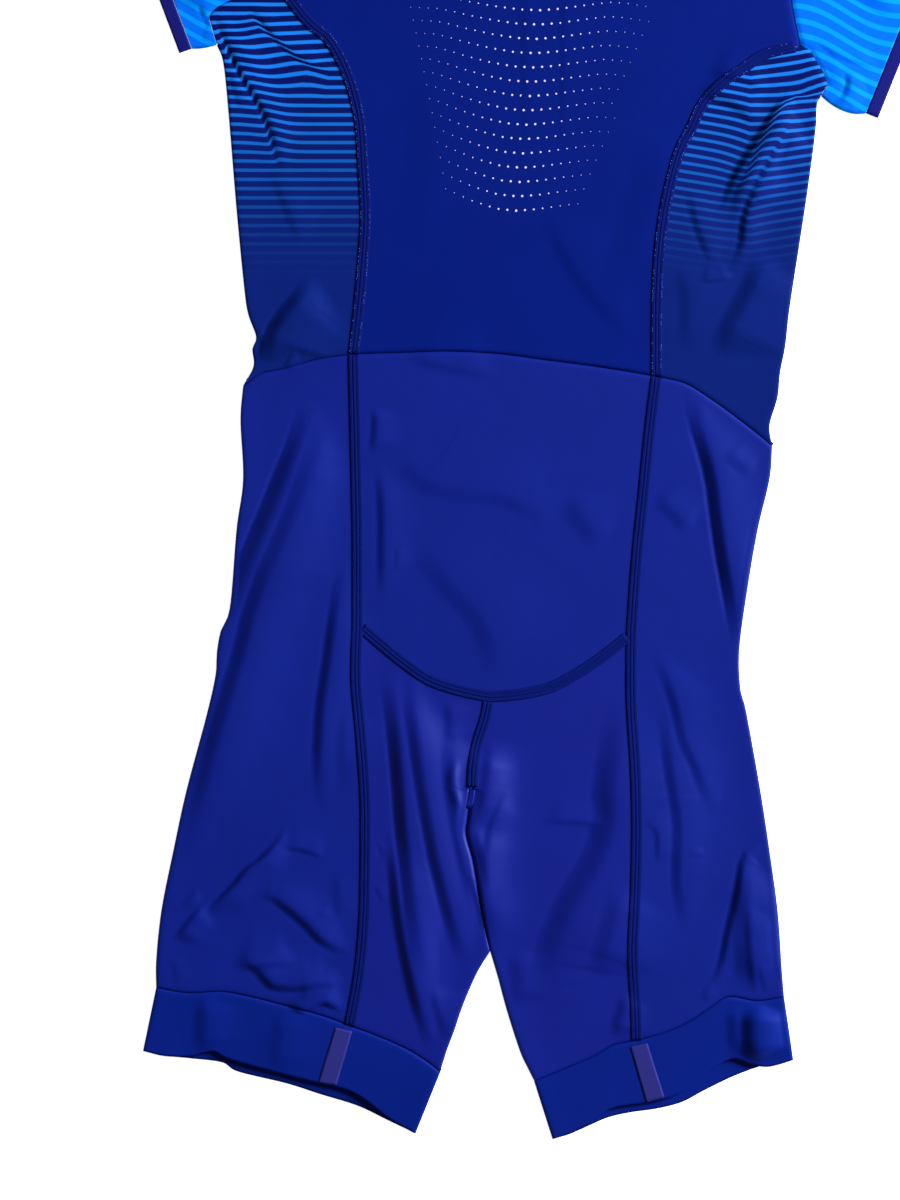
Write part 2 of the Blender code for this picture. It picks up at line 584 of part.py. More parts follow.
class Suit:
    """All the panels, worked out from the plan and sharing their seam points."""

    def __init__(self):
        self.wraps = {}
        self.meshes = {}
        for hand in SIDES:
            self.side_panels(hand)
            self.legs(hand)
        self.back()
        self.seat()
        self.front()
        for hand in SIDES:
            self.sleeve(hand)
            self.hem(hand)
            self.covers(hand)
        self.seat_cover()
        self.neck()

    def side_panels(self, hand):
        corner = np.array([PLAN["armhole_side_" + hand][-1]], dtype=float)
        outline = np.vstack([stations("side_" + hand, TORSO_ROWS - 1), corner])
        rows = coons(stations("seam_back_" + hand, TORSO_ROWS), outline, curve("waist_" + hand),
                     curve("armhole_side_" + hand))
        wrap = Wrap(rows, SIDE_COLUMNS, LOWER_COLUMNS, [True] * TORSO_ROWS + [False])
        self.keep("side_panel_" + hand, wrap)

    def legs(self, hand):
        upper = stations("seam_leg_%s_upper" % hand, SEAT_ROWS, cover_stop=True)
        lower = stations("seam_leg_%s_lower" % hand, LEG_ROWS, cover_start=True)
        outline = stations("thigh_" + hand, SEAT_ROWS + LEG_ROWS)
        rows = coons(joined(upper, lower), outline, curve("waist_" + hand), curve("hem_outer_" + hand))
        self.keep("outer_leg_" + hand, Wrap(rows, SIDE_COLUMNS, LOWER_COLUMNS, [True] * len(rows)))

        aside = np.array([LEGS_ASIDE * SIDES[hand]["outward"], 0.0])
        fold = joined(stations("inseam_touching", TOUCH_ROWS), stations("inseam_" + hand, FREE_ROWS))
        inseam = np.vstack([stations("centre", CENTRE_ROWS, cover_start=True, cover_stop=True)[:-1], fold + aside])
        rows = coons(lower, inseam, curve("seat_" + hand), curve("hem_inner_" + hand))
        folded = [False] * CENTRE_ROWS + [True] * (TOUCH_ROWS + FREE_ROWS + 1)
        self.keep("inner_leg_" + hand, Wrap(rows, INNER_COLUMNS, INNER_LOWER[hand], folded))

    def keep(self, name, wrap):
        self.wraps[name] = wrap
        self.meshes[name] = wrap.mesh()

    def back(self):
        shoulder_left, shoulder_right = shoulder("left")[0], shoulder("right")[0]
        left, right = torso_edges("left"), torso_edges("right")
        neck = curve("neck_back")
        top = np.vstack([left[-1], shoulder_left, neck[2:-2], shoulder_right, right[-1]])
        rows = coons(left, right, curve("waist_back"), top)
        grid = np.array([spaced(row, BODY_COLUMNS) for row in rows])
        quarter = BODY_COLUMNS // 4
        neck_points = by_fraction(neck, np.linspace(0, 1, BODY_COLUMNS // 2 + 1))
        self.neck_points = neck_points
        grid[-1, :quarter + 1] = np.linspace(left[-1], shoulder_left, quarter + 1)
        grid[-1, quarter + 1:3 * quarter] = neck_points[1:-1]
        grid[-1, 3 * quarter:] = np.linspace(shoulder_right, right[-1], quarter + 1)
        self.body = inset(grid, rows=(0, -1), columns=(0, -1))
        outer, inner = upper_points(self.body)
        self.body_outer = outer
        columns = {"left": range(quarter + 1), "right": range(3 * quarter, BODY_COLUMNS + 1)}
        self.meshes["back_body"] = wall(pairs((outer, inner)) + shoulder_rows(self.body, False, columns))

    def seat(self):
        left = stations("seam_leg_left_upper", SEAT_ROWS, cover_stop=True)
        right = stations("seam_leg_right_upper", SEAT_ROWS, cover_stop=True)
        seam = joined(curve("seat_left"), curve("seat_right")[::-1])
        self.seat_rows = coons(left, right, curve("waist_back"), seam)
        grid = np.array([spaced(row, BODY_COLUMNS) for row in self.seat_rows])
        inner_left = self.wraps["inner_leg_left"].plan[0]
        inner_right = self.wraps["inner_leg_right"].plan[0]
        grid[-1] = joined(inner_left, inner_right[::-1])
        grid = inset(grid, rows=(0, -1), columns=(0, -1))
        self.seat_outer = upper_points(grid)[0]
        self.meshes["seat_panel"] = flat_piece(grid)

    def front(self):
        left, right = torso_edges("left"), torso_edges("right")
        corner_left, corner_right = shoulder("left")[0], shoulder("right")[0]
        neck = curve("neck_front")
        top = np.vstack([left[-1], corner_left, neck[2:-2], corner_right, right[-1]])
        rows = coons(left, right, curve("waist_back"), top)
        columns = sum(INNER_LOWER.values())
        grid = np.array([front_row(row, columns - 1) for row in rows])
        half = columns // 2
        middle = zip_place(neck)
        from_left = np.linspace(0, middle - ZIP_TAPE / 2, half)
        to_right = np.linspace(middle + ZIP_TAPE / 2, lengths(neck)[-1], half)
        self.front_neck = by_distance(neck, np.concatenate([from_left, to_right]))
        grid[-1] = np.vstack([left[-1], corner_left, self.front_neck[1:-1], corner_right, right[-1]])
        zip_row = int(np.argmin(np.abs(grid[:, half, 1] - ZIP_END[1])))
        slot = [(i, half) for i in range(zip_row, len(rows) - 1)]
        moved = inset(grid, rows=(0, -1), columns=(0, -1))
        ends = {"left": range(2), "right": range(columns - 1, columns + 1)}
        walls = pairs(lower_points(moved)) + shoulder_rows(moved, True, ends)
        self.meshes["front_body"] = wall(walls, holes=slot)
        self.zip_edges = moved[zip_row:, half:half + 2]

        brief = np.array([front_row(row, columns - 1) for row in self.seat_rows])
        inner_left = self.wraps["inner_leg_left"].lower_plan[0]
        inner_right = self.wraps["inner_leg_right"].lower_plan[0]
        brief[-1] = joined(inner_left, inner_right[::-1])
        share = np.linspace(0, 1, len(brief))[:, None, None]
        evened = np.array([by_fraction(row, np.linspace(0, 1, columns + 1)) for row in self.seat_rows])
        brief[1:-1] = ((1 - share) * brief + share * evened)[1:-1]
        self.meshes["front_brief"] = flat_piece(inset(brief, rows=(0, -1), columns=(0, -1)), lower_points)

    def sleeve(self, hand):
        side = SIDES[hand]
        panel = self.wraps["side_panel_" + hand]
        tip = np.array(side["shoulder"], dtype=float)
        armhole = torso_edges(hand)[TORSO_ROWS:]
        start = np.array(side["underarm"], dtype=float)
        upper = np.vstack([start, panel.plan[-1][::-1], armhole[1:-1], tip])
        lower = np.vstack([start, panel.lower_plan[-1][::-1], armhole[1:-1], tip])
        low, high = np.array(side["cuff_low"], dtype=float), np.array(side["cuff_high"], dtype=float)
        edge_low, edge_high = cuff_edge(side)
        seams, edges = [], []
        for line in (upper, lower):
            share = (lengths(line) / lengths(line)[-1])[:, None]
            seams.append((1 - share) * low + share * high)
            edges.append((1 - share) * edge_low + share * edge_high)
        self.meshes["sleeve_" + hand] = tube(ruled(upper, seams[0], SLEEVE_ROWS, side["sag"]),
                                             ruled(lower, seams[1], SLEEVE_ROWS, side["sag"]))
        self.meshes["cuff_" + hand] = tube(ruled(seams[0], edges[0], 1), ruled(seams[1], edges[1], 1))

    def hem(self, hand):
        outer, inner = self.wraps["outer_leg_" + hand], self.wraps["inner_leg_" + hand]
        start, stop = outer.turns[-1][0], inner.turns[-1][0]
        rings = []
        for first, second, edge in ((outer.plan[-1], inner.plan[-1], "edge_upper_" + hand),
                                    (outer.lower_plan[-1], inner.lower_plan[-1], "edge_lower_" + hand)):
            seam = np.vstack([start, first[::-1][1:], second[1:-1], stop])
            rim = by_fraction(curve(edge), lengths(seam) / lengths(seam)[-1])
            rings.append(ruled(seam, rim, BAND_ROWS))
        self.meshes["hem_band_" + hand] = tube(*rings)

        top_start, top_stop, low_start, low_stop = [np.array(corner, dtype=float) for corner in SIDES[hand]["tab"]]
        tab = np.linspace(np.linspace(top_start, top_stop, TAB_COLUMNS),
                          np.linspace(low_start, low_stop, TAB_COLUMNS), TAB_ROWS)
        self.meshes["hem_tab_" + hand] = raised(upper_points(tab)[0], TAB_LIFT, TAB_THICK)

    def covers(self, hand):
        """Flat stitched covers over the back seam and the leg seam."""
        picks = (0, 1) if hand == "left" else (-1, -2)
        side = upper_points(self.wraps["side_panel_" + hand].upper)[0]
        outer = upper_points(self.wraps["outer_leg_" + hand].upper)[0]
        inner = upper_points(self.wraps["inner_leg_" + hand].upper)[0]
        torso = [[side[i, 1], side[i, 0], self.body_outer[i, picks[0]], self.body_outer[i, picks[1]]]
                 for i in range(TORSO_ROWS + 1)]
        self.meshes["cover_back_" + hand] = raised(torso, COVER_LIFT, COVER_THICK)
        leg = [[outer[i, 1], outer[i, 0], self.seat_outer[i, picks[0]], self.seat_outer[i, picks[1]]]
               for i in range(SEAT_ROWS)]
        middle = [0.5 * (self.seat_outer[-1, pick] + inner[0, k]) for k, pick in enumerate(picks)]
        leg.append([outer[SEAT_ROWS, 1], outer[SEAT_ROWS, 0], *middle])
        leg += [[outer[SEAT_ROWS + i, 1], outer[SEAT_ROWS + i, 0], inner[i, 0], inner[i, 1]]
                for i in range(1, LEG_ROWS + 1)]
        self.meshes["cover_leg_" + hand] = raised(leg, COVER_LIFT, COVER_THICK)

    def seat_cover(self):
        left = upper_points(self.wraps["inner_leg_left"].upper)[0]
        right = upper_points(self.wraps["inner_leg_right"].upper)[0]
        rows = []
        for seat in (self.seat_outer[-2], self.seat_outer[-1]):
            rows.append(list(seat[1:-1]))
        for i in (0, 1):
            middle = 0.5 * (left[i, -1] + right[i, -1])
            rows.append([*left[i, 1:-1], middle, *right[i, 1:-1][::-1]])
        for row in rows:
            for end, beside in ((0, 1), (-1, -2)):
                step = row[beside] - row[end]
                row[end] = row[end] + SEAM_GAP * step / np.linalg.norm(step)
        self.meshes["cover_seat"] = raised(rows, COVER_LIFT, COVER_THICK)

    def neck(self):
        middle = np.mean([PLAN["neck_back"][0], PLAN["neck_back"][-1]], axis=0) + np.array([0.0, NECK_FOCUS])
        edges = []
        for line in (self.neck_points, self.front_neck):
            edges.append(np.array([point + NECK_BINDING * unit(middle - point) for point in line]))
        half = len(self.front_neck) // 2
        ring = len(self.neck_points) + FOLD_STEPS + half - 1
        self.meshes["neck_binding"] = tube([self.neck_points, edges[0]], [self.front_neck, edges[1]],
                                           holes=[(0, ring)])
        top = edges[1][half - 1:half + 1]
        rows = []
        for i, (left, right) in enumerate(np.vstack([self.zip_edges, top[None]])):
            along = unit(right - left)
            if i == 0:
                rise = SEAM_GAP * np.array([-along[1], along[0]])
                left, right = left + rise, right + rise
            middle = 0.5 * (left + right)
            places = [left + SEAM_GAP * along, middle - ZIP_CHAIN / 2 * along, middle + ZIP_CHAIN / 2 * along,
                      right - SEAM_GAP * along]
            thick = [WALL, WALL + CHAIN_RISE, WALL + CHAIN_RISE, WALL]
            rows.append([(np.array([*place, 0.0]), np.array([*place, high]))
                         for place, high in zip(places, thick)])
        self.meshes["front_zip"] = wall(rows)


def linear(colour):
    """A colour as seen, 0 to 255, as the linear values that a shader takes."""
    shares = [value / 255 for value in colour]
    return [share / 12.92 if share <= 0.04045 else ((share + 0.055) / 1.055) ** 2.4 for share in shares] + [1.0]


def cloth_material(name, colour, roughness):
    material = bpy.data.materials.new(name)
    material.use_nodes = True
    shader = material.node_tree.nodes["Principled BSDF"]
    shader.inputs["Base Color"].default_value = linear(colour)
    shader.inputs["Roughness"].default_value = roughness
    shader.inputs["Metallic"].default_value = 0.0
    material.diffuse_color = linear(colour)
    return material


# Which cloth each piece is cut from, by the start of its name.
PIECE_CLOTH = {
    "back_body": "torso_mesh_knit", "front_body": "torso_mesh_knit", "side_panel": "striped_knit",
    "sleeve": "wave_knit", "cuff": "binding", "neck_binding": "binding", "seat_panel": "shorts_knit",
    "front_brief": "shorts_knit", "outer_leg": "shorts_knit", "inner_leg": "satin_knit",
    "hem_band": "gripper_band", "hem_tab": "hem_tab", "cover": "seam_thread", "front_zip": "zip_tape",
}


def add_piece(name, mesh, middle, low):
    """Makes the object of one piece, in metres, with its own material."""
    verts, faces = mesh
    shifted = [((x - middle[0]) * MM, (y - middle[1]) * MM, (z - low) * MM) for x, y, z in verts]
    data = bpy.data.meshes.new(name)
    data.from_pydata(shifted, [], faces)
    work = bmesh.new()
    work.from_mesh(data)
    bmesh.ops.recalc_face_normals(work, faces=work.faces)
    work.to_mesh(data)
    work.free()
    data.shade_smooth()
    data.set_sharp_from_angle(angle=math.radians(SHARP_ANGLE))
    cloth = next(cloth for start, cloth in PIECE_CLOTH.items() if name.startswith(start))
    data.materials.append(cloth_material(name + "_cloth", *CLOTHS[cloth]))
    bpy.context.scene.collection.objects.link(bpy.data.objects.new(name, data))


def place():
    """Builds every piece and sets the suit's footprint over the origin."""
    meshes = Suit().meshes
    every = np.vstack([verts for verts, _ in meshes.values()])
    middle = 0.5 * (every.min(axis=0) + every.max(axis=0))
    for name, mesh in meshes.items():
        add_piece(name, mesh, middle, every[:, 2].min())


for old in list(bpy.data.objects):
    bpy.data.objects.remove(old, do_unlink=True)
place()
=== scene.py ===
"""The looks of the running speedsuit: thin cloth with its folds, prints and stitching, laid on a pale floor.

Plan tables are in millimetres, as in the suit's own plan, with x to the right and y towards the neck.
Folds are read off the photograph in its pixels, with y down, and turned into plan by plan_of().
"""

import math

import bpy
import numpy as np
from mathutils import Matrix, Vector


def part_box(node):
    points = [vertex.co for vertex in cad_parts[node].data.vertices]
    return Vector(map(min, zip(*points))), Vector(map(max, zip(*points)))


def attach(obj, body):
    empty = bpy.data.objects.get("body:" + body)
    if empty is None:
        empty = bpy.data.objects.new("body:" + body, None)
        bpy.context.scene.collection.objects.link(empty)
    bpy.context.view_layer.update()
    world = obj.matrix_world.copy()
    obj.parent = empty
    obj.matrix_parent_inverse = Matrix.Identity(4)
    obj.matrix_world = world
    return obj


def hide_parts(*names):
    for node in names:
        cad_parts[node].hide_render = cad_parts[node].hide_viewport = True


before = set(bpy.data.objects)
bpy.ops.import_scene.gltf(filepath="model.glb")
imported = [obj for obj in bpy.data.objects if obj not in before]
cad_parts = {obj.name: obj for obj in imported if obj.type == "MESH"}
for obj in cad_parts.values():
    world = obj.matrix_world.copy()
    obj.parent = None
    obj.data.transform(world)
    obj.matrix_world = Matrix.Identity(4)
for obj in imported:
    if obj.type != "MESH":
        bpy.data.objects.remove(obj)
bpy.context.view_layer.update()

MM = 0.001
PIXEL = 0.76               # millimetres in a pixel of the photograph
PIXEL_ORIGIN = (480, 1140) # the pixel at the plan's origin
CELL = 1.75                # mesh size of the upper layer
CELL_BELOW = 5.0           # mesh size of the lower layer, which lies on the floor
WALL = 0.7                 # thickness of the cloth
SEAM_GAP = 0.2             # between two pieces at a seam
FLAT = 3.8                 # top of the upper layer where nothing lifts it
LEAST = 1.7                # top of the upper layer in the deepest trough
MOST = 12.0                # top of the highest fold
TROUGH_EASE = 0.3          # how softly a trough levels out, in square millimetres
STEEPEST = 1.6             # most that a slope thickens the cloth, measured upright
LEAST_HOLLOW = 0.1         # least room under the upper layer
DARK_SLOPE = 0.34          # slope away from the light at darkness 1
BAND = 1.2                 # from the table's widths to the slope's
LEAST_FACING = 0.4         # how square to the light a fold is taken to be at least
TAIL = 2.2                 # how far a fold falls away towards the light, as a share of its band
LEAST_TAIL = 12.0          # the shortest such fall, in millimetres
FURROW = 1.3               # reach of the lit furrow beside a fold
SHORT = 40.0               # a fold shorter than this is lower in the same measure
EDGE_ROLL = 0.5            # how much higher the cloth stands where it folds round an edge
EDGE_ROLL_WIDTH = 13.0     # how far in from the edge that reaches
EDGE_READ = 3.5            # how far in from the outline the height of its fold is read
EDGE_BLEND = 6.0           # over which the upper layer meets the height of its folded edge
EDGE_HEIGHTS = (2.6, 8.0)  # least and most height of a folded edge
TURN_STEPS = 8             # intervals round a folded edge
COVER_LIFT = 0.25          # from the panels to the cover above them
CUFF_WIDTH = 10.0
NECK_BINDING = 9.0
ZIP_TAPE = 27.0
ZIP_CHAIN = 6.0
ZIP_END = (47, 749)
ZIP_TOP = (57, 968)
RIGHT_OVER_LEFT = -0.5     # how far the right leg's edge reaches over the left one
LEGS_ASIDE = 0.15          # by which each leg's edge keeps clear of the line between the legs
ROUTE_POINTS = 14          # points along a fold
STUDIO = 1.5               # how bright a level white surface is in the scene's light
SUN = (0.92, 0.39)         # where the light comes from, in plan

# Lengths and widths from which the number of mesh cells in each panel follows.
MESH = {"side": (330, 108), "outer_leg": (500, 112), "inner_leg": (310, 92), "seat": (235, 225),
        "back_width": 300, "sleeve": 100, "hem": 230}
UNDERARM = 14 / 15         # share of a side panel's outline that is a folded edge
WAIST_TO_SEAT = 10 / 26    # share of an outer leg's rows above the seat seam
CROTCH, PARTED = 5 / 16, 11 / 16   # shares of an inner leg's rows down to the crotch and to where legs part

PLAN = {
    "seam_back_left": [(-96, 597), (-92, 633), (-89, 667), (-87, 703), (-89, 741), (-91, 771), (-96, 795),
                       (-103, 815), (-115, 836), (-132, 851), (-153, 879)],
    "seam_back_right": [(134, 580), (134, 623), (135, 657), (137, 684), (141, 711), (146, 733), (152, 753),
                        (160, 768), (169, 787), (184, 803), (200, 814), (217, 825), (243, 831)],
    "seam_leg_left_upper": [(-96, 597), (-95, 555), (-94, 509), (-93, 456), (-93, 392)],
    "seam_leg_left_lower": [(-93, 392), (-94, 350), (-90, 304), (-87, 258), (-87, 213), (-88, 167),
                            (-92, 125),
                            (-99, 87)],
    "seam_leg_right_upper": [(134, 580), (129, 540), (124, 490), (119, 441), (115, 385)],
    "seam_leg_right_lower": [(115, 385), (115, 334), (118, 281), (119, 236), (118, 190), (116, 144),
                             (118, 106),
                             (119, 76)],
    "waist_left": [(-96, 597), (-124, 593), (-149, 586), (-167, 582), (-180, 573)],
    "waist_back": [(-96, 597), (-61, 598), (-23, 599), (15, 597), (53, 592), (91, 587), (134, 580)],
    "waist_right": [(134, 580), (155, 575), (172, 565), (189, 553), (206, 540), (222, 527)],
    "seat_left": [(-93, 392), (-74, 376), (-58, 363), (-39, 350), (-16, 342), (7, 337)],
    "seat_right": [(115, 385), (91, 366), (71, 353), (53, 344), (30, 339), (7, 337)],
    "centre": [(7, 337), (4, 321), (-2, 302), (-5, 285), (-6, 266)],
    "inseam_touching": [(-6, 266), (-9, 245), (-10, 232), (-5, 213), (-1, 190), (4, 163), (8, 144)],
    "inseam_left": [(8, 144), (-1, 129), (-8, 114), (-14, 99), (-19, 84), (-25, 68), (-30, 52)],
    "inseam_right": [(8, 144), (12, 129), (20, 99), (30, 68), (36, 55), (41, 45)],
    "side_left": [(-180, 573), (-172, 588), (-173, 601), (-170, 610), (-176, 627), (-179, 646), (-185, 707),
                  (-191, 779), (-195, 818), (-200, 832)],
    "side_right": [(222, 527), (220, 543), (226, 564), (228, 583), (232, 604), (235, 631), (242, 676),
                   (249, 722),
                   (255, 768), (256, 787), (259, 793)],
    "thigh_left": [(-180, 573), (-182, 547), (-180, 502), (-185, 464), (-190, 405), (-197, 387),
                   (-200, 370),
                   (-201, 353), (-208, 322), (-223, 266), (-233, 220), (-242, 175), (-246, 137),
                   (-246, 116)],
    "thigh_right": [(222, 527), (220, 502), (211, 464), (203, 418), (197, 372), (198, 342), (202, 327),
                    (213, 266), (220, 220), (226, 175), (229, 133), (231, 109)],
    "armhole_side_left": [(-153, 879), (-173, 873), (-189, 866), (-200, 860), (-206, 853)],
    "armhole_side_right": [(243, 831), (250, 828), (255, 820), (260, 812), (264, 802)],
    "armhole_back_left": [(-153, 879), (-137, 911), (-116, 969), (-112, 1042)],
    "armhole_back_right": [(243, 831), (236, 867), (229, 928), (242, 999)],
    "hem_outer_left": [(-99, 87), (-121, 95), (-147, 102), (-174, 109), (-197, 113), (-222, 112),
                       (-246, 116)],
    "hem_outer_right": [(119, 76), (138, 81), (156, 89), (173, 100), (188, 109), (210, 106), (231, 109)],
    "hem_inner_left": [(-99, 87), (-80, 80), (-57, 70), (-42, 61), (-30, 52)],
    "hem_inner_right": [(119, 76), (100, 72), (84, 63), (63, 54), (41, 45)],
    "edge_upper_left": [(-256, 68), (-239, 64), (-220, 64), (-204, 68), (-192, 62), (-164, 54), (-125, 44),
                        (-103, 39), (-88, 31), (-70, 17), (-49, 5)],
    "edge_lower_left": [(-256, 68), (-239, 64), (-220, 62), (-196, 59), (-184, 52), (-147, 43), (-122, 35),
                        (-93, 26), (-70, 15), (-49, 5)],
    "edge_upper_right": [(238, 61), (219, 56), (205, 58), (194, 62), (184, 59), (167, 47), (152, 36),
                         (133, 30),
                         (114, 27), (99, 24), (84, 14), (67, 5), (55, 1)],
    "edge_lower_right": [(238, 61), (219, 58), (194, 49), (171, 38), (154, 29), (135, 24), (114, 21),
                         (97, 17),
                         (81, 10), (67, 4), (55, 1)],
    "neck_back": [(-2, 1064), (22, 1046), (67, 1037), (114, 1036), (141, 1047)],
    "neck_front": [(-2, 1064), (16, 1010), (57, 977), (102, 997), (141, 1047)],
}
SIDES = {
    "left": {"underarm": (-200, 832), "shoulder": (-112, 1042), "cuff_low": (-219, 829),
             "cuff_high": (-273, 972), "sag": (0, -1), "outward": -1,
             "tab": ((-110, 86), (-97, 83), (-123, 44), (-109, 42))},
    "right": {"underarm": (259, 793), "shoulder": (242, 999), "cuff_low": (293, 780),
              "cuff_high": (350, 921), "sag": (0, -5), "outward": 1,
              "tab": ((114, 71), (127, 74), (126, 29), (140, 33))},
}

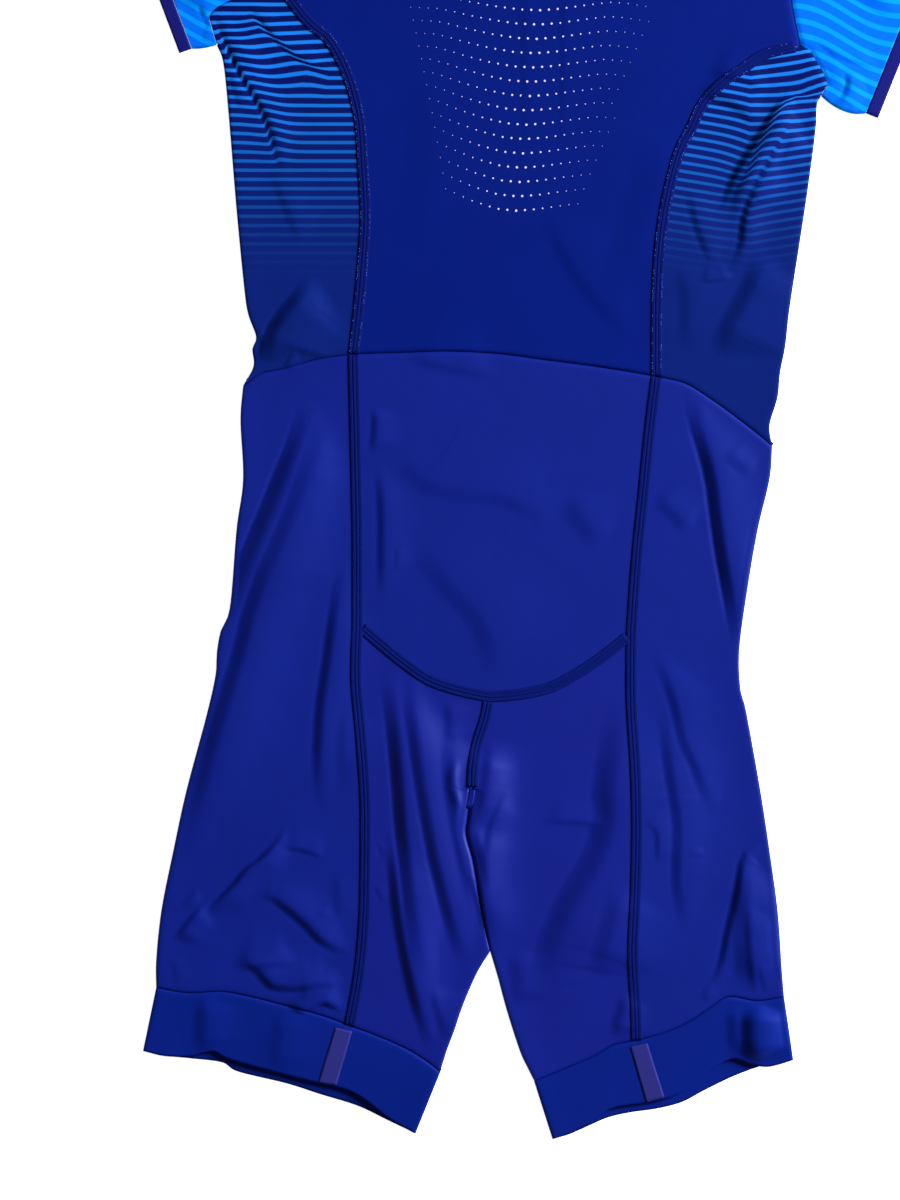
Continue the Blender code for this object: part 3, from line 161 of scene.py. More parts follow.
# Folds in photo pixels, each by the dark band that its slope away from the light makes: route along the
# middle of the band, width of the band, how dark it is (1 gives a slope of DARK_SLOPE), and the depth in
# millimetres of the narrow lit furrow on its far side.
FOLDS = [
    # outer leg, left
    ([(310, 394), (297, 438), (281, 478), (264, 520), (247, 560), (236, 592), (229, 618)], 15, 1.0, 0.5),
    ([(331, 396), (318, 438), (304, 478), (289, 520), (270, 562), (253, 602), (243, 642), (231, 682),
      (219, 720),
      (212, 745), (204, 775), (195, 810), (187, 841), (179, 880)], 14, 0.95, 0.3),
    ([(343, 556), (337, 590), (332, 622), (327, 662), (321, 700), (318, 740), (317, 775), (320, 800),
      (325, 816)],
     9, 1.2, 0.3),
    ([(346, 700), (341, 740), (342, 790)], 9, 0.4, 0.0),
    ([(285, 822), (279, 838), (262, 857), (246, 869), (237, 881), (220, 898), (203, 917)], 4, 1.5, 0.4),
    ([(206, 902), (192, 917), (174, 940)], 3.5, 1.3, 0.3),
    ([(198, 888), (182, 906)], 4, 0.7, 0.2),
    ([(282, 849), (300, 850), (326, 859)], 3, 1.1, 0.2),
    ([(252, 896), (271, 898), (290, 911), (306, 925), (324, 943), (352, 955)], 7, 1.3, 0.3),
    ([(236, 957), (260, 973), (272, 986), (300, 988), (324, 984), (345, 988)], 7, 1.2, 0.3),
    ([(283, 1002), (298, 1009), (306, 1011), (322, 1003), (332, 1006), (343, 1013)], 4, 1.9, 0.3),
    ([(334, 872), (337, 900), (340, 925)], 5, 0.5, 0.0),
    ([(318, 912), (330, 906)], 5, 0.8, 0.1),
    ([(232, 968), (262, 966), (300, 962)], 7, 0.5, 0.0),
    ([(170, 955), (176, 975), (172, 985)], 5, 0.6, 0.1),
    # inner leg, left, satin
    ([(384, 664), (390, 705), (395, 745), (399, 790), (402, 830), (408, 880), (414, 932),
      (424, 985)], 12, 1.7, 0.5),
    ([(388, 826), (392, 866), (396, 905), (403, 948), (411, 985), (420, 1020), (431, 1056)], 9, 1.9, 0.2),
    ([(405, 668), (409, 705), (415, 745), (421, 785), (427, 820), (434, 858), (442, 890), (449, 920),
      (457, 948),
      (468, 972)], 11, 2.1, 0.3),
    ([(378, 842), (384, 858)], 4, 0.9, 0.2),
    ([(374, 885), (383, 902)], 4, 0.9, 0.2),
    ([(430, 985), (438, 1015), (447, 1042)], 8, 0.7, 0.0),
    ([(444, 700), (448, 720), (447, 745)], 8, 0.7, 0.0),
    ([(446, 725), (449, 780), (454, 815), (461, 850), (468, 882), (474, 916)], 13, 1.5, 0.0),
    ([(473, 745), (470, 785), (472, 815)], 8, 1.2, 0.0),
    # inner leg, right
    ([(508, 784), (496, 811), (488, 832), (484, 874)], 4.5, 1.0, 0.3),
    ([(540, 822), (575, 823), (610, 827)], 3, 0.6, 0.1),
    ([(619, 690), (612, 741), (604, 790), (605, 824), (593, 858), (567, 902), (548, 945), (542, 978),
      (548, 1012)],
     22, 0.75, 0.2),
    ([(510, 950), (516, 977), (513, 1004)], 14, 0.4, 0.0),
    ([(626, 990), (618, 1014), (612, 1036)], 10, 0.7, 0.0),
    ([(618, 880), (606, 930), (592, 975)], 16, 0.5, 0.1),
    # outer leg, right
    ([(687, 388), (694, 420), (703, 448), (711, 478), (715, 508), (721, 551), (727, 584), (733, 620),
      (738, 650)],
     11, 1.55, 0.9),
    ([(722, 455), (738, 466), (752, 478)], 10, 0.5, 0.1),
    ([(650, 500), (668, 512), (690, 534)], 12, 0.4, 0.0),
    ([(651, 648), (663, 674), (672, 698), (678, 722), (684, 745), (694, 765), (701, 786), (709, 803),
      (715, 820)],
     9, 0.85, 0.2),
    ([(660, 700), (664, 730), (668, 765), (673, 795), (677, 822), (677, 850), (676, 880), (681, 915),
      (685, 938)],
     10, 0.95, 0.2),
    ([(641, 825), (654, 829), (657, 845), (656, 864)], 4.5, 1.1, 0.1),
    ([(688, 857), (705, 854)], 3, 0.9, 0.1),
    ([(770, 846), (755, 846), (744, 854), (740, 868), (738, 885), (733, 908), (728, 928), (720, 964),
      (707, 992)],
     6, 1.3, 0.4),
    ([(742, 866), (742, 890), (741, 920), (740, 950), (741, 992)], 17, 1.0, 0.0),
    ([(746, 900), (748, 945), (751, 975), (752, 996)], 7, 1.4, 0.0),
    ([(757, 962), (761, 978), (765, 994)], 4, 0.9, 0.2),
    ([(700, 998), (710, 982)], 6, 0.7, 0.1),
    ([(748, 1002), (749, 1032), (749, 1064)], 16, 2.6, 0.0),
    ([(731, 1004), (731, 1030), (732, 1056)], 12, 0.7, 0.0),
    # hem band, left
    ([(201, 992), (200, 1025), (199, 1056)], 14, 0.6, 0.0),
    ([(278, 1004), (276, 1040), (272, 1076)], 14, 0.35, 0.0),
    # seat
    ([(374, 405), (374, 430), (371, 454)], 6, 0.9, 0.2),
    ([(376, 462), (380, 495), (381, 540), (380, 602)], 7, 0.9, 0.2),
    ([(398, 543), (395, 574)], 4, 0.6, 0.1),
    ([(388, 450), (424, 486), (456, 495), (497, 500), (529, 513), (556, 536)], 14, 0.3, 0.0),
    ([(408, 546), (427, 567), (452, 596), (472, 616), (484, 643), (491, 682)], 18, 0.38, 0.0),
    ([(560, 500), (600, 550)], 18, 0.3, 0.0),
    ([(400, 358), (440, 368), (500, 378)], 10, 0.3, 0.0),
    # back
    ([(538, 208), (576, 278), (632, 344)], 14, 0.35, 0.0),
    ([(523, -30), (523, 60), (524, 155)], 4, 0.3, 0.1),
    ([(562, -30), (562, 60), (561, 155)], 4, 0.3, 0.1),
    ([(398, 60), (420, 150), (400, 260)], 30, 0.12, 0.0),
    ([(650, 120), (640, 200), (600, 300)], 30, 0.15, 0.0),
    # side panel, left
    ([(213, 5), (231, 50), (243, 77), (252, 92), (263, 110), (275, 142), (279, 160),
      (284, 180)], 6, 1.3, 0.6),
    ([(228, 70), (236, 92), (244, 112)], 7, 0.7, 0.2),
    ([(270, 170), (284, 205), (294, 230), (298, 248)], 8, 0.5, 0.0),
    ([(247, 3), (265, 26), (281, 46), (303, 62), (320, 70), (334, 68)], 4, 1.1, 0.2),
    ([(228, 34), (244, 60), (262, 84)], 9, 0.4, 0.0),
    ([(312, 276), (298, 297), (281, 318), (270, 340), (265, 366)], 13, 1.25, 0.3),
    ([(296, 350), (283, 368)], 4, 0.9, 0.2),
    ([(255, 330), (262, 345), (259, 362)], 6, 1.0, 0.2),
    # side panel, right
    ([(800, 92), (783, 99), (764, 128), (745, 158), (731, 184), (718, 217)], 7, 1.7, 0.2),
    ([(808, 98), (786, 114), (767, 139), (750, 171), (736, 196), (729, 226)], 8, 1.4, 0.1),
    ([(782, 138), (767, 166), (752, 195), (743, 221), (741, 243), (729, 272)], 6, 1.6, 0.4),
    ([(798, 128), (786, 150), (778, 176)], 8, 0.6, 0.1),
    ([(685, 188), (690, 203), (695, 223), (702, 243), (712, 268)], 7, 0.9, 0.2),
    ([(698, 94), (728, 104), (758, 126)], 9, 0.8, 0.1),
    ([(706, 72), (740, 82), (768, 92)], 7, 0.5, 0.1),
    ([(698, 283), (721, 281), (735, 277)], 3, 0.9, 0.2),
    ([(761, 250), (747, 289), (727, 325), (713, 356)], 17, 0.75, 0.0),
    ([(676, 262), (684, 300), (682, 352)], 12, 0.4, 0.0),
    ([(778, 386), (773, 402), (775, 422)], 6, 0.8, 0.1),
    # sleeves
    ([(199, 4), (205, 16), (211, 28)], 5, 1.3, 0.4),
    ([(202, 42), (206, 34), (209, 24)], 5, 0.8, 0.1),
    ([(160, -14), (195, -34), (245, -64)], 14, 0.4, 0.2),
    ([(170, -70), (230, -100), (290, -130)], 16, 0.4, 0.2),
    ([(812, 41), (824, 49), (836, 57), (853, 63), (878, 70)], 3, 1.0, 0.2),
    ([(831, 102), (842, 99), (848, 86), (847, 70)], 6, 1.1, 0.3),
    ([(862, 78), (868, 86), (872, 96)], 5, 0.5, 0.1),
    ([(822, 60), (832, 72), (834, 88)], 6, 0.5, 0.1),
    ([(820, -20), (860, -5), (900, 20)], 14, 0.4, 0.2),
    ([(830, -90), (870, -80), (910, -60)], 14, 0.4, 0.2),
    # shoulders, out of the picture
    ([(352, -122), (402, -154), (454, -170)], 16, 0.4, 0.1),
    ([(764, -76), (716, -116), (664, -146)], 16, 0.4, 0.1),
]
# Ridges: route in photo pixels, height in millimetres, and reach in millimetres away from the light and
# towards it.
RIDGES = [
    # crotch: the wall of the pocket on the left leg, its wall on the right leg, and the right leg's edge
    ([(457, 756), (453, 778), (457, 798), (468, 816)], 2.7, 3.2, 3.0),
    ([(492, 738), (490, 780), (485, 806), (474, 828)], 3.7, 5.5, 15),
    ([(473, 822), (472, 838), (478, 862), (484, 890), (490, 920), (496, 952)], 3.4, 3.2, 18),
    # roll by the right underarm
    ([(827, 88), (812, 97), (797, 100), (783, 109), (770, 130), (757, 156), (746, 182),
      (737, 202)], 1.2, 4, 5),
]


def plan_of(route):
    """Plan place of photo pixels."""
    return np.array([((x - PIXEL_ORIGIN[0]) * PIXEL, (PIXEL_ORIGIN[1] - y) * PIXEL) for x, y in route])


def lengths(line):
    steps = np.linalg.norm(np.diff(line, axis=0), axis=1)
    return np.concatenate([[0.0], np.cumsum(steps)])


def by_distance(line, places):
    run = lengths(line)
    return np.column_stack([np.interp(places, run, line[:, k]) for k in range(line.shape[1])])


def by_fraction(line, fractions):
    return by_distance(line, np.asarray(fractions) * lengths(line)[-1])


def evenly(line, count):
    return by_fraction(line, np.linspace(0, 1, count))


def smooth(points, count):
    """Points at even steps along the smooth curve through the given ones."""
    knots = np.array(points, dtype=float)
    ends = np.vstack([2 * knots[0] - knots[1], knots, 2 * knots[-1] - knots[-2]])
    dense = []
    for k in range(1, len(ends) - 2):
        before, start, stop, after = ends[k - 1:k + 3]
        for t in np.linspace(0, 1, 12, endpoint=False):
            dense.append(0.5 * (2 * start + (stop - before) * t
                                + (2 * before - 5 * start + 4 * stop - after) * t ** 2
                                + (3 * start - before - 3 * stop + after) * t ** 3))
    dense.append(knots[-1])
    return evenly(np.array(dense), count)


def curve(name, count=80):
    return smooth(PLAN[name], count)


def joined(*parts):
    return np.vstack([parts[0]] + [part[1:] for part in parts[1:]])


def leg_seam(hand):
    return joined(curve("seam_leg_%s_upper" % hand), curve("seam_leg_%s_lower" % hand))


def hem_seam(hand):
    return joined(curve("hem_outer_" + hand)[::-1], curve("hem_inner_" + hand))


def seat_seam():
    return joined(curve("seat_left"), curve("seat_right")[::-1])


def ease(share):
    """A soft step from 0 to 1, level at both ends."""
    share = np.clip(share, 0, 1)
    return share * share * (3 - 2 * share)


def normals(line):
    """Unit vectors square to a plan line, to its left."""
    tangent = np.gradient(line, axis=0)
    square = np.column_stack([-tangent[:, 1], tangent[:, 0]])
    return square / np.maximum(np.linalg.norm(square, axis=1), 1e-9)[:, None]


def unit(vector):
    return np.asarray(vector, dtype=float) / max(np.linalg.norm(vector), 1e-9)


def distance_to(line, places):
    """Distance from each place to a polyline, its side (1 for left) and how far along it lies, 0 to 1."""
    best = np.full(places.shape[:-1], 1e9)
    side = np.zeros_like(best)
    along = np.zeros_like(best)
    run = lengths(line)
    for k in range(len(line) - 1):
        step = line[k + 1] - line[k]
        length = np.linalg.norm(step)
        rel = places - line[k]
        t = np.clip(rel @ step / length ** 2, 0, 1)
        away = np.linalg.norm(rel - t[..., None] * step, axis=-1)
        closer = away < best
        best = np.where(closer, away, best)
        side = np.where(closer, np.sign(step[0] * rel[..., 1] - step[1] * rel[..., 0]), side)
        along = np.where(closer, (run[k] + t * length) / run[-1], along)
    return best, side, along


class Field:
    """A value over the plan at even steps, to which folds are added one by one."""

    LOW = np.array([-300.0, -12.0])
    SHAPE = (686, 1096)

    def __init__(self, value):
        self.values = np.full(self.SHAPE, float(value))

    def window(self, line, reach):
        """The part of the raster round a line, and its places in plan."""
        low = np.clip(np.floor(line.min(axis=0) - self.LOW - reach), 0, np.array(self.SHAPE) - 1).astype(int)
        high = np.clip(np.ceil(line.max(axis=0) - self.LOW + reach), 1, self.SHAPE).astype(int)
        part = (slice(low[0], high[0]), slice(low[1], high[1]))
        x, y = np.meshgrid(np.arange(low[0], high[0]), np.arange(low[1], high[1]), indexing="ij")
        return part, np.dstack([x, y]) + self.LOW

    def at(self, places):
        """Values at the places, read between the steps."""
        spot = np.clip(places - self.LOW, 0, np.array(self.SHAPE) - 1.001)
        cell = np.floor(spot).astype(int)
        rest = spot - cell
        i, j = cell[..., 0], cell[..., 1]
        u, v = rest[..., 0], rest[..., 1]
        grid = self.values
        return ((1 - u) * (1 - v) * grid[i, j] + u * (1 - v) * grid[i + 1, j]
                + (1 - u) * v * grid[i, j + 1] + u * v * grid[i + 1, j + 1])


def cuff_edge(side):
    low = np.array(side["cuff_low"], dtype=float)
    high = np.array(side["cuff_high"], dtype=float)
    along = unit(high - low)
    across = side["outward"] * np.array([along[1], -along[0]])
    return low + CUFF_WIDTH * across, high + CUFF_WIDTH * across


def folded_edges():
    edges = [curve(name, 40) for name in ("side_left", "side_right", "thigh_left", "thigh_right",
                                          "inseam_left", "inseam_right")]
    for side in SIDES.values():
        low, high = cuff_edge(side)
        edges.append(np.array([side["underarm"], side["cuff_low"], low], dtype=float))
        edges.append(np.array([side["shoulder"], side["cuff_high"], high], dtype=float))
    for hand, corner in (("left", 0), ("right", -1)):
        edges.append(np.array([PLAN["neck_back"][corner], SIDES[hand]["shoulder"]], dtype=float))
        edges.append(np.array([PLAN["hem_outer_" + hand][-1], PLAN["edge_upper_" + hand][0]], dtype=float))
        edges.append(np.array([PLAN["hem_inner_" + hand][-1], PLAN["edge_upper_" + hand][-1]], dtype=float))
    return edges


# Seams that draw the cloth in: depth and reach to each side.
SEAM_VALLEYS = [("waist_left", 0.7, 1.3), ("waist_back", 0.7, 1.3), ("waist_right", 0.7, 1.3),
                ("hem_outer_left", 0.6, 1.3), ("hem_inner_left", 0.6, 1.3), ("hem_outer_right", 0.6, 1.3),
                ("hem_inner_right", 0.6, 1.3), ("armhole_back_left", 0.9, 2.2),
                ("armhole_back_right", 0.9, 2.2),
                ("armhole_side_left", 0.8, 2.0), ("armhole_side_right", 0.8, 2.0)]


def end_fade(along):
    """1 along most of a fold, falling to 0 at its ends."""
    return ease(np.minimum(along, 1 - along) * 3)


def relief():
    """Top of the upper layer over the plan."""
    field = Field(0.0)
    edge = Field(1e9)
    for line in folded_edges():
        part, places = edge.window(line, 3 * EDGE_ROLL_WIDTH)
        edge.values[part] = np.minimum(edge.values[part], distance_to(line, places)[0])
    field.values += EDGE_ROLL * np.exp(-(edge.values / EDGE_ROLL_WIDTH) ** 2)
    for route, width, dark, furrow in FOLDS:
        line = smooth(plan_of(route), ROUTE_POINTS)
        wide = width * PIXEL * BAND
        tail = min(max(LEAST_TAIL, TAIL * wide), lengths(line)[-1] / 3)
        small = min(1.0, lengths(line)[-1] / SHORT)
        part, places = field.window(line, wide + 2.5 * tail)
        away, hand, along = distance_to(line, places)
        step = unit(line[-1] - line[0])
        facing = step[0] * SUN[1] - step[1] * SUN[0]
        across = away * hand * np.sign(facing)
        rise = dark * DARK_SLOPE * wide / 1.5 / max(abs(facing), LEAST_FACING) * small
        climb = ease(across / wide + 0.5)
        ends = end_fade(along)
        fall = np.exp(-(np.maximum(across - wide / 2, 0) / (tail * (0.2 + 0.8 * ends))) ** 2)
        lip = furrow * np.exp(-((across + wide / 2) / FURROW) ** 2)
        field.values[part] += (rise * climb * fall - lip) * ends
    for route, rise, shade, lit in RIDGES:
        line = smooth(plan_of(route), ROUTE_POINTS)
        part, places = field.window(line, 3 * max(shade, lit))
        away, hand, along = distance_to(line, places)
        step = line[-1] - line[0]
        hand *= np.sign(step[0] * SUN[1] - step[1] * SUN[0])
        reach = np.where(hand > 0, lit, shade)
        field.values[part] += rise * np.exp(-(away / reach) ** 2) * end_fade(along)
    for name, depth, reach in SEAM_VALLEYS:
        line = curve(name, 40)
        part, places = field.window(line, 3 * reach)
        field.values[part] -= depth * np.exp(-(distance_to(line, places)[0] / reach) ** 2)
    low = LEAST - FLAT
    over = field.values - low
    lifted = low + 0.5 * (over + np.sqrt(over ** 2 + TROUGH_EASE))
    room = MOST - FLAT
    field.values = FLAT + np.where(lifted > 0, room * np.tanh(lifted / room), lifted)
    return field


TOP = relief()


def edge_radius(end, outward):
    tall = float(TOP.at(np.array(end - EDGE_READ * outward)))
    return 0.5 * float(np.clip(tall, *EDGE_HEIGHTS))


def coons(starts, stops, first, last, count=80):
    """Rows between two side edges, shaped by the first and the last row."""
    share = 0.5 * (lengths(starts) / lengths(starts)[-1] + lengths(stops) / lengths(stops)[-1])[:, None, None]
    u = np.linspace(0, 1, count)[None, :, None]
    first, last = evenly(first, count)[None], evenly(last, count)[None]
    flat = ((1 - u) * (1 - share) * first[:, :1] + u * (1 - share) * first[:, -1:]
            + (1 - u) * share * last[:, :1] + u * share * last[:, -1:])
    return ((1 - share) * first + share * last + (1 - u) * starts[:, None] + u * stops[:, None] - flat)


def inset(grid, rows=(), columns=(), by=SEAM_GAP / 2):
    """Moves the named outer rows and columns of a plan grid inwards, square to themselves."""
    moved = grid.copy()
    for axis, picks in ((0, rows), (1, columns)):
        for pick in picks:
            edge = np.take(grid, pick, axis=axis)
            inner = np.take(grid, 1 if pick == 0 else -2, axis=axis)
            normal = normals(edge)
            normal *= np.sign(np.sum(normal * (inner - edge), axis=1))[:, None]
            if axis == 0:
                moved[pick, :] += by * normal
            else:
                moved[:, pick] += by * normal
    return moved


def upper_layer(grid, tops=None):
    """Outer and inner points of the upper layer over a plan grid."""
    top = TOP.at(grid) if tops is None else tops
    slope = [(TOP.at(grid + step) - TOP.at(grid - step)) / 2 for step in ((1.0, 0.0), (0.0, 1.0))]
    thick = WALL * np.minimum(np.sqrt(1 + slope[0] ** 2 + slope[1] ** 2), STEEPEST)
    thick = np.minimum(thick, top - WALL - LEAST_HOLLOW)
    return np.dstack([grid, top]), np.dstack([grid, top - thick])


def lower_layer(grid):
    ground = np.zeros(grid.shape[:2])
    return np.dstack([grid, ground]), np.dstack([grid, ground + WALL])


def edge_turn(end, outward, radius, shift):
    """Points round a folded edge, from its top to its underside: outer and inner."""
    turn = np.pi * np.arange(1, TURN_STEPS) / TURN_STEPS
    away = np.column_stack([np.sin(turn)[:, None] * outward, np.cos(turn)])
    centre = np.array([*(end - radius * outward + shift), radius])
    return centre + radius * away, centre + (radius - WALL) * away


def meet_edge(row, tops, rim, radius):
    """Heights of a row, led to the height of the folded edge at rim."""
    near = ease(1 - np.linalg.norm(row - rim, axis=1) / EDGE_BLEND)
    return (1 - near) * tops + near * 2 * radius


class Shell:
    """Outer and inner points of a piece of cloth as grids, with what is left out of them."""

    def __init__(self, outer, inner, valid=None, closed=False, holes=()):
        self.outer = outer
        self.inner = inner
        self.valid = np.ones(outer.shape[:2], bool) if valid is None else valid
        self.closed = closed
        self.holes = holes

    def quads(self):
        rows, columns = self.outer.shape[:2]
        number = np.arange(rows * columns).reshape(rows, columns)
        right = np.roll(number, -1, axis=1)
        reach = columns if self.closed else columns - 1
        cells = np.stack([number[:-1], right[:-1], right[1:], number[1:]], axis=-1)[:, :reach]
        fine = self.valid.ravel()[cells].all(axis=-1)
        for i, j in self.holes:
            fine[i, j] = False
        return cells[fine]

    def mesh(self):
        """Vertices and quads of the closed wall."""
        face = self.quads()
        count = self.outer.shape[0] * self.outer.shape[1]
        corners = self.outer.reshape(-1, 3)[face[:, :]]
        facing = np.cross(corners[:, 1] - corners[:, 0], corners[:, 3] - corners[:, 0])[:, 2]
        high = corners[:, :, 2].mean(axis=1) >= WALL
        lean = facing[high].sum() - (facing[~high].sum() if not high.any() else 0.0)
        if lean < 0:
            face = face[:, ::-1]
        edges = np.vstack([face[:, [k, (k + 1) % 4]] for k in range(4)])
        free = edges[~np.isin(edges[:, 0] * count + edges[:, 1], edges[:, 1] * count + edges[:, 0])]
        rim = np.column_stack([free[:, 1], free[:, 0], free[:, 0] + count, free[:, 1] + count])
        quads = np.vstack([face, face[:, ::-1] + count, rim])
        verts = np.vstack([self.outer.reshape(-1, 3), self.inner.reshape(-1, 3)])
        return verts, quads

    def cut(self):
        """Width, length and area of the cloth laid flat, in metres."""
        closed = np.concatenate([self.outer, self.outer[:, :1]], axis=1) if self.closed else self.outer
        steps = np.linalg.norm(np.diff(closed, axis=1), axis=2)
        rise = np.linalg.norm(np.diff(self.outer, axis=0), axis=2)
        face = self.outer.reshape(-1, 3)[self.quads()]
        area = 0.5 * np.linalg.norm(np.cross(face[:, 2] - face[:, 0], face[:, 3] - face[:, 1]), axis=1).sum()
        return steps.sum(axis=1).max() * MM, rise.sum(axis=0).max() * MM, area * MM * MM


def cells(length, size=CELL):
    return max(2, int(round(length / size)))


def wrap(rows, folded, width):
    """A panel from a seam on the upper layer, round the outline, to the seam below."""
    columns, lower_columns = cells(width) + 1, cells(width, CELL_BELOW) + 1
    plan, below, turns = [], [], []
    for row, folds in zip(rows, folded):
        outward = unit(row[-1] - row[-3])
        radius = edge_radius(row[-1], outward) if folds else 0.0
        total = lengths(row)[-1] - radius
        plan.append(by_distance(row, np.linspace(0, total, columns)))
        below.append(by_distance(row, np.linspace(0, total, lower_columns)))
        turns.append((row[-1], outward, radius))
    plan, below = np.array(plan), np.array(below)
    folded = np.array(folded)
    grids = []
    for grid in (plan, below):
        moved = inset(grid, rows=(0, -1), columns=(0,))
        side = inset(grid, columns=(-1,))
        moved[~folded, -1] += side[~folded, -1] - grid[~folded, -1]
        grids.append(moved)
    tops = TOP.at(grids[0])
    for i, (_, _, radius) in enumerate(turns):
        if folded[i]:
            tops[i] = meet_edge(plan[i], tops[i], plan[i, -1], radius)
    above, under = upper_layer(grids[0], tops), lower_layer(grids[1])
    shift = grids[0][:, -1] - plan[:, -1]
    round_edge = [edge_turn(*turn, by) for turn, by in zip(turns, shift)]
    parts = [np.concatenate([above[k], np.array([edge[k] for edge in round_edge]), under[k][:, ::-1]], axis=1)
             for k in (0, 1)]
    valid = np.ones(parts[0].shape[:2], bool)
    valid[~folded, columns:columns + TURN_STEPS - 1] = False
    return Shell(parts[0], parts[1], valid)


def tube(upper_rows, lower_rows, holes=()):
    """A flattened tube. Each row is a plan line across it, from one folded edge to the other."""
    uppers, lowers = np.array(upper_rows), np.array(lower_rows)
    above_plan, below_plan = inset(uppers, rows=(0, -1)), inset(lowers, rows=(0, -1))
    outer, inner = [], []
    for upper, over, under in zip(uppers, above_plan, below_plan):
        ends = []
        for near, far in ((0, 2), (-1, -3)):
            outward = unit(upper[near] - upper[far])
            radius = edge_radius(upper[near], outward)
            ends.append((upper[near].copy(), outward, radius, over[near] - upper[near]))
        cuts = []
        for line in (over, under):
            total = lengths(line)[-1]
            even = lengths(line) / total
            cuts.append(by_distance(line, ends[0][2] + even * (total - ends[0][2] - ends[1][2])))
        tops = TOP.at(cuts[0])
        tops = meet_edge(cuts[0], tops, cuts[0][0], ends[0][2])
        tops = meet_edge(cuts[0], tops, cuts[0][-1], ends[1][2])
        top, floor = upper_layer(cuts[0][None], tops[None]), lower_layer(cuts[1][None])
        first, second = edge_turn(*ends[0]), edge_turn(*ends[1])
        for k, ring in ((0, outer), (1, inner)):
            ring.append(np.concatenate([top[k][0], second[k], floor[k][0][::-1], first[k][::-1]]))
    return Shell(np.array(outer), np.array(inner), closed=True, holes=holes)


def ruled(start, stop, count, bow=(0.0, 0.0)):
    fade = (1 - lengths(start) / lengths(start)[-1])[:, None] ** 2
    return [(1 - s) * start + s * stop + 4 * s * (1 - s) * fade * np.array(bow, dtype=float)
            for s in np.linspace(0, 1, count + 1)]


def shoulder(hand):
    neck = np.array(PLAN["neck_back"][0 if hand == "left" else -1], dtype=float)
    tip = np.array(SIDES[hand]["shoulder"], dtype=float)
    along = unit(neck - tip)
    normal = np.array([-along[1], along[0]])
    normal *= np.sign(normal[1])
    radius = edge_radius(tip, normal)
    return neck - radius * normal, normal, radius


def torso_edge(hand):
    line = curve("armhole_back_" + hand)
    total = lengths(line)[-1] - shoulder(hand)[2]
    return joined(evenly(curve("seam_back_" + hand), 120), by_distance(line, np.linspace(0, total, 40)))


def shoulder_turn(outer, inner, grid, below, spans):
    """Rows that turn a panel's shoulder edge part of the way round towards the other layer."""
    outers, inners, valid = [outer], [inner], [np.ones(outer.shape[:2], bool)]
    for turn in np.radians(np.linspace(12, 84, 7)):
        out, into, kept = outer[-1].copy(), inner[-1].copy(), np.zeros(outer.shape[1], bool)
        for hand, columns in spans.items():
            normal = shoulder(hand)[1]
            for j in columns:
                half = TOP.at(grid[-1, j]) / 2
                rise = -math.cos(turn) if below else math.cos(turn)
                away = np.array([*(math.sin(turn) * normal), rise])
                centre = np.array([*grid[-1, j], half])
                out[j], into[j], kept[j] = centre + half * away, centre + (half - WALL) * away, True
        outers.append(out[None])
        inners.append(into[None])
        valid.append(kept[None])
    return np.concatenate(outers), np.concatenate(inners), np.concatenate(valid)


def side_panel(hand):
    length, width = MESH["side"]
    count = cells(length)
    share = np.linspace(0, 1, count + 1)
    line = curve("side_" + hand)
    corner = np.array([PLAN["armhole_side_" + hand][-1]], dtype=float)
    on_line = by_fraction(line, np.minimum(share / UNDERARM, 1))
    past = np.clip((share - UNDERARM) / (1 - UNDERARM), 0, 1)[:, None]
    outline = on_line + past * (corner - line[-1])
    rows = coons(evenly(curve("seam_back_" + hand), count + 1), outline, curve("waist_" + hand),
                 curve("armhole_side_" + hand))
    return wrap(rows, share <= UNDERARM, width)


def outer_leg(hand):
    length, width = MESH["outer_leg"]
    count = cells(length)
    seam = leg_seam(hand)
    ends = np.array([0, WAIST_TO_SEAT, 1]) * count
    split = lengths(curve("seam_leg_%s_upper" % hand))[-1]
    run = np.interp(np.arange(count + 1), ends, [0, split, lengths(seam)[-1]])
    rows = coons(by_distance(seam, run), evenly(curve("thigh_" + hand), count + 1), curve("waist_" + hand),
                 curve("hem_outer_" + hand))
    return wrap(rows, [True] * (count + 1), width)


def inner_leg(hand):
    parts = [curve("centre"), curve("inseam_touching"), curve("inseam_" + hand)]
    length, width = MESH["inner_leg"]
    count = cells(length)
    turn, parted = int(round(count * CROTCH)), int(round(count * PARTED))
    line = joined(*parts)
    marks = np.cumsum([0] + [lengths(part)[-1] for part in parts])
    run = np.interp(np.arange(count + 1), [0, turn, parted, count], marks)
    inseam = by_distance(line, run)
    apart = LEGS_ASIDE * SIDES[hand]["outward"]
    over = apart if hand == "left" else RIGHT_OVER_LEFT
    inseam[turn:, 0] += np.interp(np.arange(turn, count + 1), [parted, parted + 12], [over, apart])
    rows = coons(evenly(curve("seam_leg_%s_lower" % hand), count + 1), inseam, curve("seat_" + hand),
                 curve("hem_inner_" + hand))
    return wrap(rows, np.arange(count + 1) >= turn, width)


